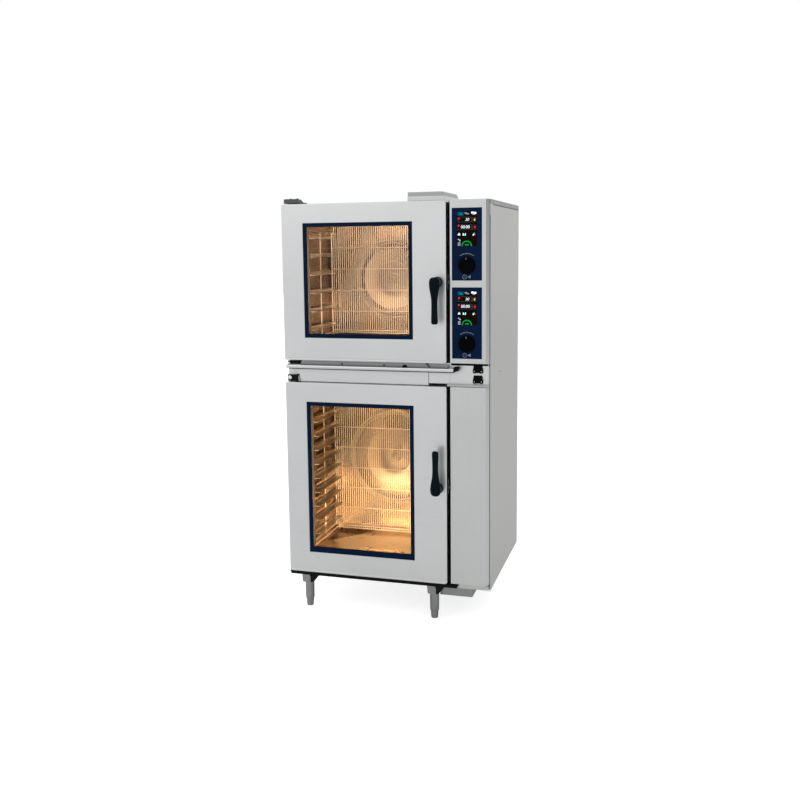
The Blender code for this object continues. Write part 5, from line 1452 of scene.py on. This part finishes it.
def make_hinges():
    hinge = PLACES["upper_door_swing"]
    arm_front = DOOR_FACE + 0.010
    arm_back = DOOR_FACE + 0.048
    left = hinge.x - 0.010
    upper_bottom, upper_top = hinge.z - 0.024, hinge.z - 0.005
    lower_door_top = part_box("lower_door_shell")[1].z
    lower_bottom, lower_top = lower_door_top + 0.003, lower_door_top + 0.035
    parts = []
    arms = (("upper", 0.071, upper_bottom, upper_top), ("lower", 0.056, lower_bottom, lower_top))
    for name, length, bottom, top in arms:
        arm = block(name, (left, arm_front, bottom), (left + length, arm_back, top))
        round_corners(arm, "Z", 0.006, 3)
        parts.append(soften(arm, 0.0016))
    plate = block(
        "plate", (left + 0.003, DOOR_FACE + 0.020, lower_top - 0.004),
        (left + 0.044, DOOR_FACE + 0.027, upper_bottom + 0.004)
    )
    pocket(plate, (left + 0.0335, 0, lower_top), (left + 0.0350, 0, upper_bottom), (0, -1, 0), 0.002)
    parts.append(soften(plate, 0.001))
    gusset = outline(
        "gusset",
        [
            (left + 0.049, arm_front + 0.003, lower_bottom), (left + 0.066, arm_front + 0.003, lower_bottom),
            (left + 0.056, arm_front + 0.003, lower_top - 0.004),
            (left + 0.049, arm_front + 0.003, lower_top - 0.004)
        ],
        (0, 0.030, 0),
    )
    for part in parts[:2]:
        paint(part, BLACK_STEEL_AND_SHADE)
    paint(parts[2], FRONT)
    parts.append(paint(soften(gusset, 0.001), MILL))
    pins = ((upper_top - 0.004, hinge.z + 0.014), (lower_door_top - 0.014, lower_bottom + 0.004))
    for bottom, top in pins:
        pin = rod("pin", (hinge.x, hinge.y, bottom), (hinge.x, hinge.y, top), HINGE_PIN, 24)
        parts.append(paint(soften(pin, 0.0008), BRIGHT))
    fit(join("middle_hinge", *parts), BRACKET, TOWER, ["middle_hinge_bracket"])
    ball = Vector((left + 0.012, arm_front - 0.001, upper_bottom + 0.0085))
    bolt = Vector((left + 0.015, arm_front - 0.0005, lower_bottom + 0.018))
    bolts = [turned("ball", ball, "Y", BALL_HEAD, steps=28), turned("bolt", bolt, "Y", BOLT_HEAD, steps=28)]
    fit(soften(join("hinge_bolts", *bolts), 0.0), BRIGHT)
    low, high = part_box("top_hinge_bracket")
    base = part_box("top_cover")[1].z + FIT
    foot = outline(
        "top_hinge",
        [
            (low.x, low.y, base), (high.x, low.y, base), (high.x, low.y, base + 0.006),
            (high.x - 0.012, low.y, high.z), (low.x + 0.003, low.y, high.z), (low.x, low.y, high.z - 0.003)
        ],
        (0, 0.060, 0),
    )
    soften(foot, 0.0016)
    tongue = block("tongue", (low.x + 0.004, low.y + 0.050, base), (high.x - 0.004, high.y, base + 0.007))
    soften(tongue, 0.0012)
    pin = rod("pin", (hinge.x, hinge.y, low.z), (hinge.x, hinge.y, base + 0.004), HINGE_PIN, 24)
    soften(pin, 0.0008)
    profile = ((0.0, 0.0), (0.0, 0.0062), (0.0022, 0.0058), (0.0040, 0.0034), (0.0044, 0.0))
    caps = [
        turned(
            "cap", (x, hinge.y, high.z - 0.001), "Z", profile, steps=24
        ) for x in (left + 0.029, left + 0.063)
    ]
    cast = [paint(part, BRACKET) for part in (foot, tongue)]
    caps = [paint(soften(cap, 0.0), BRACKET) for cap in caps]
    fit(join("top_hinge", *cast, paint(pin, BRIGHT), *caps), BRACKET, TOWER, ["top_hinge_bracket"])
    places = [(x, high.y - 0.014, base + 0.007) for x in (low.x + 0.016, high.x - 0.016)]
    make_screws("top_hinge_screws", places, (0, 0, 1), radius=0.0050)
    keep("bottom_hinge_bracket", BRACKET, 0.001)


# ---- Casing ------------------------------------------------------------------------------------------


COVER_SCREWS = {
    "right": (-0.239, -0.184, 0.06, 0.36), "left": (-0.22, 0.06, 0.36), "back": (-0.44, -0.15, 0.15, 0.45)
}


def make_cover():
    low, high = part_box("top_cover")
    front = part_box("upper_cavity")[0].y + SHEET
    cover = block("top_cover_sheet", (low.x, front, low.z), (high.x, high.y, high.z))
    pocket(
        cover, (low.x + 0.05, front + 0.06, 0), (high.x - 0.05, high.y - 0.05, 0), (0, 0, 1), 0.0012,
        taper=0.004
    )
    for outward in (1, -1):
        pocket(
            cover, (0, front - 0.01, low.z - 0.01), (0, high.y + 0.01, low.z + 0.0032), (outward, 0, 0), 0.005
        )
    soften(cover, 0.0022, 3)
    side_strip = block("strip", (high.x - SHEET, low.y, low.z + 0.0032), (high.x, front + 0.003, high.z))
    soften(side_strip, 0.0004)
    fit(join("top_cover_sheet", cover, side_strip), COVER, TOWER, ["top_cover"])
    flange = (low.z + high.z) / 2
    right = [(high.x, y, flange) for y in COVER_SCREWS["right"]]
    left = [(low.x, y, flange) for y in COVER_SCREWS["left"]]
    back = [(x, high.y, flange) for x in COVER_SCREWS["back"]]
    for name, places, outward in (
        ("right", right, (1, 0, 0)), ("left", left, (-1, 0, 0)), ("back", back, (0, 1, 0))
    ):
        make_screws(f"cover_screws_{name}", places, outward, radius=0.0040)


def make_chimney():
    low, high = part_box("exhaust_chimney")
    slant = 0.016
    split = low.z + 0.55 * (high.z - low.z)

    def shape(name, bottom, top, grow):
        run = slant / (high.z - low.z)
        points = [
            (low.x - grow, low.y - grow, bottom),
            (high.x + grow - run * (bottom - low.z), low.y - grow, bottom),
            (high.x + grow - run * (top - low.z), low.y - grow, top),
            (low.x - grow, low.y - grow, top),
        ]
        return outline(name, points, (0, high.y - low.y + grow, 0))

    upper = shape("upper", low.z, high.z, 0.0)
    pocket(
        upper, (low.x + 0.020, 0, low.z + 0.006), (high.x - slant - 0.020, 0, high.z - 0.006), (0, 1, 0),
        0.170
    )
    soften(upper, 0.0014)
    lower = shape("lower", low.z + 0.003, split, 0.0012)
    pocket(
        lower, (low.x + 0.020, 0, low.z + 0.006), (high.x - slant - 0.020, 0, split + 0.01), (0, 1, 0), 0.170
    )
    soften(lower, 0.0008)
    foot = block("foot", (low.x - 0.004, low.y - 0.004, low.z), (high.x + 0.004, high.y, low.z + 0.0025))
    pocket(foot, (low.x + 0.03, low.y + 0.03, 0), (high.x - 0.03, high.y - 0.03, 0), (0, 0, -1), 0.001)
    soften(foot, 0.0006)
    paint(upper, CHIMNEY)
    paint(lower, HOOD)
    paint(foot, HOOD)
    fit(join("exhaust_chimney_hood", upper, lower, foot), HOOD, TOWER, ["exhaust_chimney"])


def make_side(node, name, outward):
    """A flat side sheet with turned-in hems, and the screws along its edges."""
    low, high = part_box(node)
    sheet = block(name, low, high)
    face = high.x if outward > 0 else low.x
    hem = 0.014
    for z in (low.z, high.z - hem):
        pocket(sheet, (0, low.y + hem, z + hem - 0.001), (0, high.y - hem, z + hem), (outward, 0, 0), 0.0004)
    soften(sheet, 0.0005)
    fit(sheet, SIDE, TOWER, [node])
    rows = (low.z + 0.10, (low.z + high.z) / 2, high.z - 0.10)
    places = [(face, high.y - 0.012, z) for z in rows]
    places += [(face, y, low.z + 0.0075) for y in (low.y + 0.10, (low.y + high.y) / 2, high.y - 0.10)]
    make_screws(f"{name}_screws", places, (outward, 0, 0), radius=0.0040)
    return low, high


SEAM_TOP = 1.922
CATCH_FRONT, CATCH_BACK = -0.118, -0.104
CATCH_BOTTOM, CATCH_TOP = 1.1860, 1.1905


def make_sides():
    make_side("left_side_panel", "left_side_sheet", -1)
    low, high = make_side("right_side_panel", "right_side_sheet", 1)
    column_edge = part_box("control_column")[0].y + CHAMFER
    seam_low = (high.x - 0.0032, column_edge - 0.0001, low.z + 0.03)
    seam = block("side_seam_seal", seam_low, (high.x - 0.0006, low.y + 0.0001, SEAM_TOP))
    fit(soften(seam, 0.0003), MATT_BLACK)
    catch_low = (high.x - 0.001, CATCH_FRONT, CATCH_BOTTOM)
    catch = block("side_catch", catch_low, (high.x + 0.0006, CATCH_BACK, CATCH_TOP))
    round_corners(catch, "X", 0.002, 3)
    fit(soften(catch, 0.0003), DARK)


LOUVRES = 6
LOUVRE_PITCH = 0.022
LOUVRE_LEFT, LOUVRE_RIGHT = 0.314, 0.440
HOOD_PROFILE = ((-0.0004, 0.0135), (0.0065, 0.0015), (0.0065, 0.0), (0.0055, 0.0005), (-0.0004, 0.0105))
BACK_SEAM = 0.018  # half its height
GLAND_ACROSS, GLAND_HEIGHT = 0.20, 0.290
GLAND_PROFILE = (
    (-0.0003, 0.0), (-0.0003, 0.019), (0.003, 0.019), (0.003, 0.0155), (0.012, 0.0155), (0.014, 0.013),
    (0.024, 0.0115), (0.026, 0.0095), (0.026, 0.0070), (0.010, 0.0065), (0.010, 0.0),
)


def make_back():
    keep("back_panel", SIDE, 0.0)
    low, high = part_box("back_panel")
    hoods = []
    for deck in DECKS:
        top = chamber_box(deck)[1].z
        for index in range(LOUVRES):
            hoods.append(Vector((0, 0, top + (index - LOUVRES) * LOUVRE_PITCH)))
    points = [(LOUVRE_LEFT, high.y + behind, z) for behind, z in HOOD_PROFILE]
    hood = outline("louvre_hoods", points, (LOUVRE_RIGHT - LOUVRE_LEFT, 0, 0))
    soften(hood, 0.0006)
    fit(spread("louvre_hoods", hood, hoods), SIDE)
    places = []
    for z in (low.z + 0.05, low.z + 0.5, (low.z + high.z) / 2, high.z - 0.5, high.z - 0.05):
        for x in (low.x + 0.012, high.x - 0.012):
            places.append((x, high.y, z))
    make_screws("back_panel_screws", places, (0, 1, 0), radius=0.0042)
    seam_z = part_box("lower_door_shell")[1].z + 0.05
    seam_low = (low.x + 0.002, high.y - 0.0004, seam_z - BACK_SEAM)
    seam = block("back_seam", seam_low, (high.x - 0.002, high.y + 0.0012, seam_z + BACK_SEAM))
    pocket(seam, (low.x + 0.004, 0, seam_z - 0.002), (high.x - 0.004, 0, seam_z + 0.002), (0, 1, 0), 0.0008)
    fit(soften(seam, 0.0005), SIDE)
    gland = Vector((GLAND_ACROSS, high.y, GLAND_HEIGHT))
    body = turned("gland", gland, "Y", GLAND_PROFILE, steps=36)
    nut = rod("nut", gland + Vector((0, 0.003, 0)), gland + Vector((0, 0.010, 0)), 0.0195, 6)
    fit(join("cable_gland", soften(body, 0.0004), soften(nut, 0.001)), MATT_BLACK)


def make_connections():
    low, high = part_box("rear_connections")
    plate = block("plate", low, (high.x, low.y + 0.004, high.z))
    round_corners(plate, "Y", 0.006, 3)
    paint(soften(plate, 0.0008), MILL)
    z = (low.z + high.z) / 2
    front = low.y + 0.002
    reach = high.y - front
    pieces = [plate]
    first = low.x + 0.030
    for place in (first, first + 0.045):
        nut = rod("nut", (place, front, z), (place, front + 0.010, z), 0.0165, 6)
        pieces.append(paint(soften(nut, 0.0012), BRASS))
        points = [(0.0, 0.0), (0.0, 0.013)]
        for index in range(6):
            along = 0.012 + index * 0.0022
            points += [(along, 0.0120), (along + 0.0011, 0.0130)]
        points += [(reach, 0.0122), (reach, 0.0095), (0.010, 0.0095), (0.010, 0.0)]
        pieces.append(paint(soften(turned("thread", (place, front, z), "Y", points, steps=32), 0.0), BRASS))
    points = (
        (0.0, 0.0), (0.0, 0.0225), (0.003, 0.0225), (0.004, 0.0200), (reach - 0.004, 0.0200),
        (reach - 0.002, 0.0207), (reach, 0.0202), (reach, 0.0180), (0.006, 0.0180), (0.006, 0.0)
    )
    pieces.append(
        paint(soften(turned("spigot", (first + 0.100, front, z), "Y", points, steps=40), 0.0004), MILL)
    )
    fit(join("water_and_drain_connections", *pieces), BRASS, TOWER, ["rear_connections"])
    corners = [
        (x, low.y + 0.004, y) for x in (
            low.x + 0.008, high.x - 0.008
        ) for y in (low.z + 0.008, high.z - 0.008)
    ]
    make_screws("connection_plate_screws", corners, (0, 1, 0), radius=0.0034)


def make_base():
    keep("base_frame", SIDE, 0.0008)
    low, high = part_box("lower_drip_strip")
    tall = high.z - low.z
    points = [(low.x, low.y, high.z)]
    for step in range(5):
        angle = math.radians(90 * step / 4)
        drop = tall * (0.6 * (1 - math.cos(angle)) + 0.4 * step / 4)
        points.append((low.x + 0.0072 * math.sin(angle), low.y, high.z - drop))
    points += [(high.x - (x - low.x), y, z) for x, y, z in reversed(points)]
    strip = outline("lower_drip_edge", points, (0, high.y - low.y, 0))
    fit(soften(strip, 0.0014, 3), MATT_BLACK, TOWER, ["lower_drip_strip"])
    low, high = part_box("drain_box")
    box = block("drain_trough", low, high)
    choose(box, "FACE", lambda middle, way: way.z < -0.9)
    bpy.ops.mesh.inset(thickness=0.02)
    bpy.ops.transform.translate(value=(0, 0, 0.006))
    round_corners(box, "Z", 0.004, 3)
    soften(box, 0.0014)
    rim = block(
        "rim", (low.x - 0.006, low.y - 0.005, high.z - 0.003), (high.x + 0.008, high.y + 0.008, high.z - FIT)
    )
    soften(rim, 0.0008)
    fit(join("drain_trough", box, rim), MILL, TOWER, ["drain_box"])


LEG_RADIUS = 0.0235
LEG_PLATE = 0.062  # height of the bracket


def make_leg(leg):
    low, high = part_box(f"{leg}_leg")
    tip_low, tip_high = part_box(f"{leg}_leg_tip")
    centre = (tip_low + tip_high) / 2
    top, bottom = high.z, low.z
    radius = LEG_RADIUS
    face = high.y - 2 * radius
    split = centre.x + 0.35 * radius
    bracket = outline(
        f"{leg}_bracket",
        [
            (low.x, face, top), (low.x + 0.002, face, top - 0.024),
            (centre.x - radius - 0.006, face, top - LEG_PLATE), (split, face, top - LEG_PLATE),
            (split, face, top)
        ],
        (0, 2 * radius - 0.002, 0),
    )
    paint(soften(bracket, 0.0022, 3), LEG)
    # The gusset is painted near black: painted shade on the bracket's side flange
    gusset = outline(
        "gusset",
        [
            (split, face + 0.003, top), (split, face + 0.003, top - LEG_PLATE),
            (centre.x + radius, face + 0.003, top - LEG_PLATE), (high.x, face + 0.003, top - 0.004),
            (high.x, face + 0.003, top)
        ],
        (0, 2 * radius - 0.008, 0),
    )
    paint(soften(gusset, 0.0015), BLACK_STEEL_AND_SHADE)
    lip = block("lip", (low.x, low.y, top - 0.013), (split + 0.002, high.y, top))
    round_corners(lip, "Z", 0.004, 2)
    paint(soften(lip, 0.0014), FRONT)
    reach = top - 0.03
    tube = turned(
        "tube", (centre.x, centre.y, 0.0), "Z",
        (
            (reach, 0.0), (reach, radius), (top - LEG_PLATE - 0.002, radius),
            (top - LEG_PLATE - 0.004, radius - 0.0008), (bottom + 0.012, radius - 0.0018),
            (bottom + 0.010, radius - 0.0018), (bottom + 0.003, radius - 0.0045), (bottom, radius - 0.0050),
            (bottom, 0.0142), (bottom + 0.060, 0.0142), (bottom + 0.060, 0.0)
        ),
        steps=40,
    )
    paint(soften(tube, 0.0005), LEG)
    profile = ((0.001, 0.0), (0.001, 0.0032), (-0.0012, 0.0028), (-0.0016, 0.0))
    bolt = turned("bolt", (low.x + 0.012, low.y, top - 0.006), "Y", profile, steps=14)
    paint(soften(bolt, 0.0), BRIGHT)
    fit(join(f"{leg}_foot_bracket", bracket, gusset, lip, tube, bolt), LEG, TOWER, [f"{leg}_leg"])
    points = [
        (0.0, 0.0), (0.0, 0.0135), (0.0012, 0.0162), (0.006, 0.0168), (0.0075, 0.0160), (0.009, 0.0170),
        (0.030, 0.0185), (0.0317, 0.0178), (0.0317, 0.0130)
    ]
    along = 0.034
    while along < 0.086:
        points += [(along, 0.0130), (along + 0.0012, 0.0120)]
        along += 0.0024
    points.append((0.087, 0.0))
    tip = turned(f"{leg}_screw_tip", (centre.x, centre.y, tip_low.z), "Z", points, steps=32)
    soften(tip, 0.0)
    fit(tip, MILL, f"{leg}_tip", [f"{leg}_leg_tip"])


def make_floor():
    deselect()
    bpy.ops.mesh.primitive_plane_add(size=60, location=(0, 0, -0.0005))
    floor = named("studio_floor")
    pale = finish("floor_pale", None, (0.86, 0.86, 0.86), 0.85, 0.0, (3, 3, 3), tint=0.01, relief=0.0,
                  Emission_Color=(1.0, 1.0, 1.0, 1.0), Specular_IOR_Level=0.0)
    tree = pale.material.node_tree
    path = tree.nodes.new("ShaderNodeLightPath")
    lift = tree.nodes.new("ShaderNodeMath")
    lift.operation = "MULTIPLY"
    lift.inputs[1].default_value = 0.70
    tree.links.new(path.outputs["Is Camera Ray"], lift.inputs[0])
    tree.links.new(lift.outputs["Value"], tree.nodes["Principled BSDF"].inputs["Emission Strength"])
    paint(floor, pale)


# ---- Assembly ----------------------------------------------------------------------------------------

make_camera()
make_studio()
make_floor()
for deck in DECKS:
    make_door_skin(deck)
    make_door_trim(deck)
    make_glass(deck)
    make_handle(deck)
    make_chamber(deck)
    for side in ("left", "right"):
        make_rack(deck, side)
    make_guard(deck)
    make_fan(deck)
    make_heater(deck)
    make_lamp(deck)
    make_gasket(deck)
    make_controls(deck)
    make_flap(deck)
for deck in DECKS:
    make_chamber_light(deck, **LAMPS[deck])
make_columns()
make_gutter()
make_between()
make_hinges()
make_cover()
make_chimney()
make_sides()
make_back()
make_connections()
make_base()
for leg in LEGS:
    make_leg(leg)
keep("electronics_tray", GREEN, 0.001)

deselect()
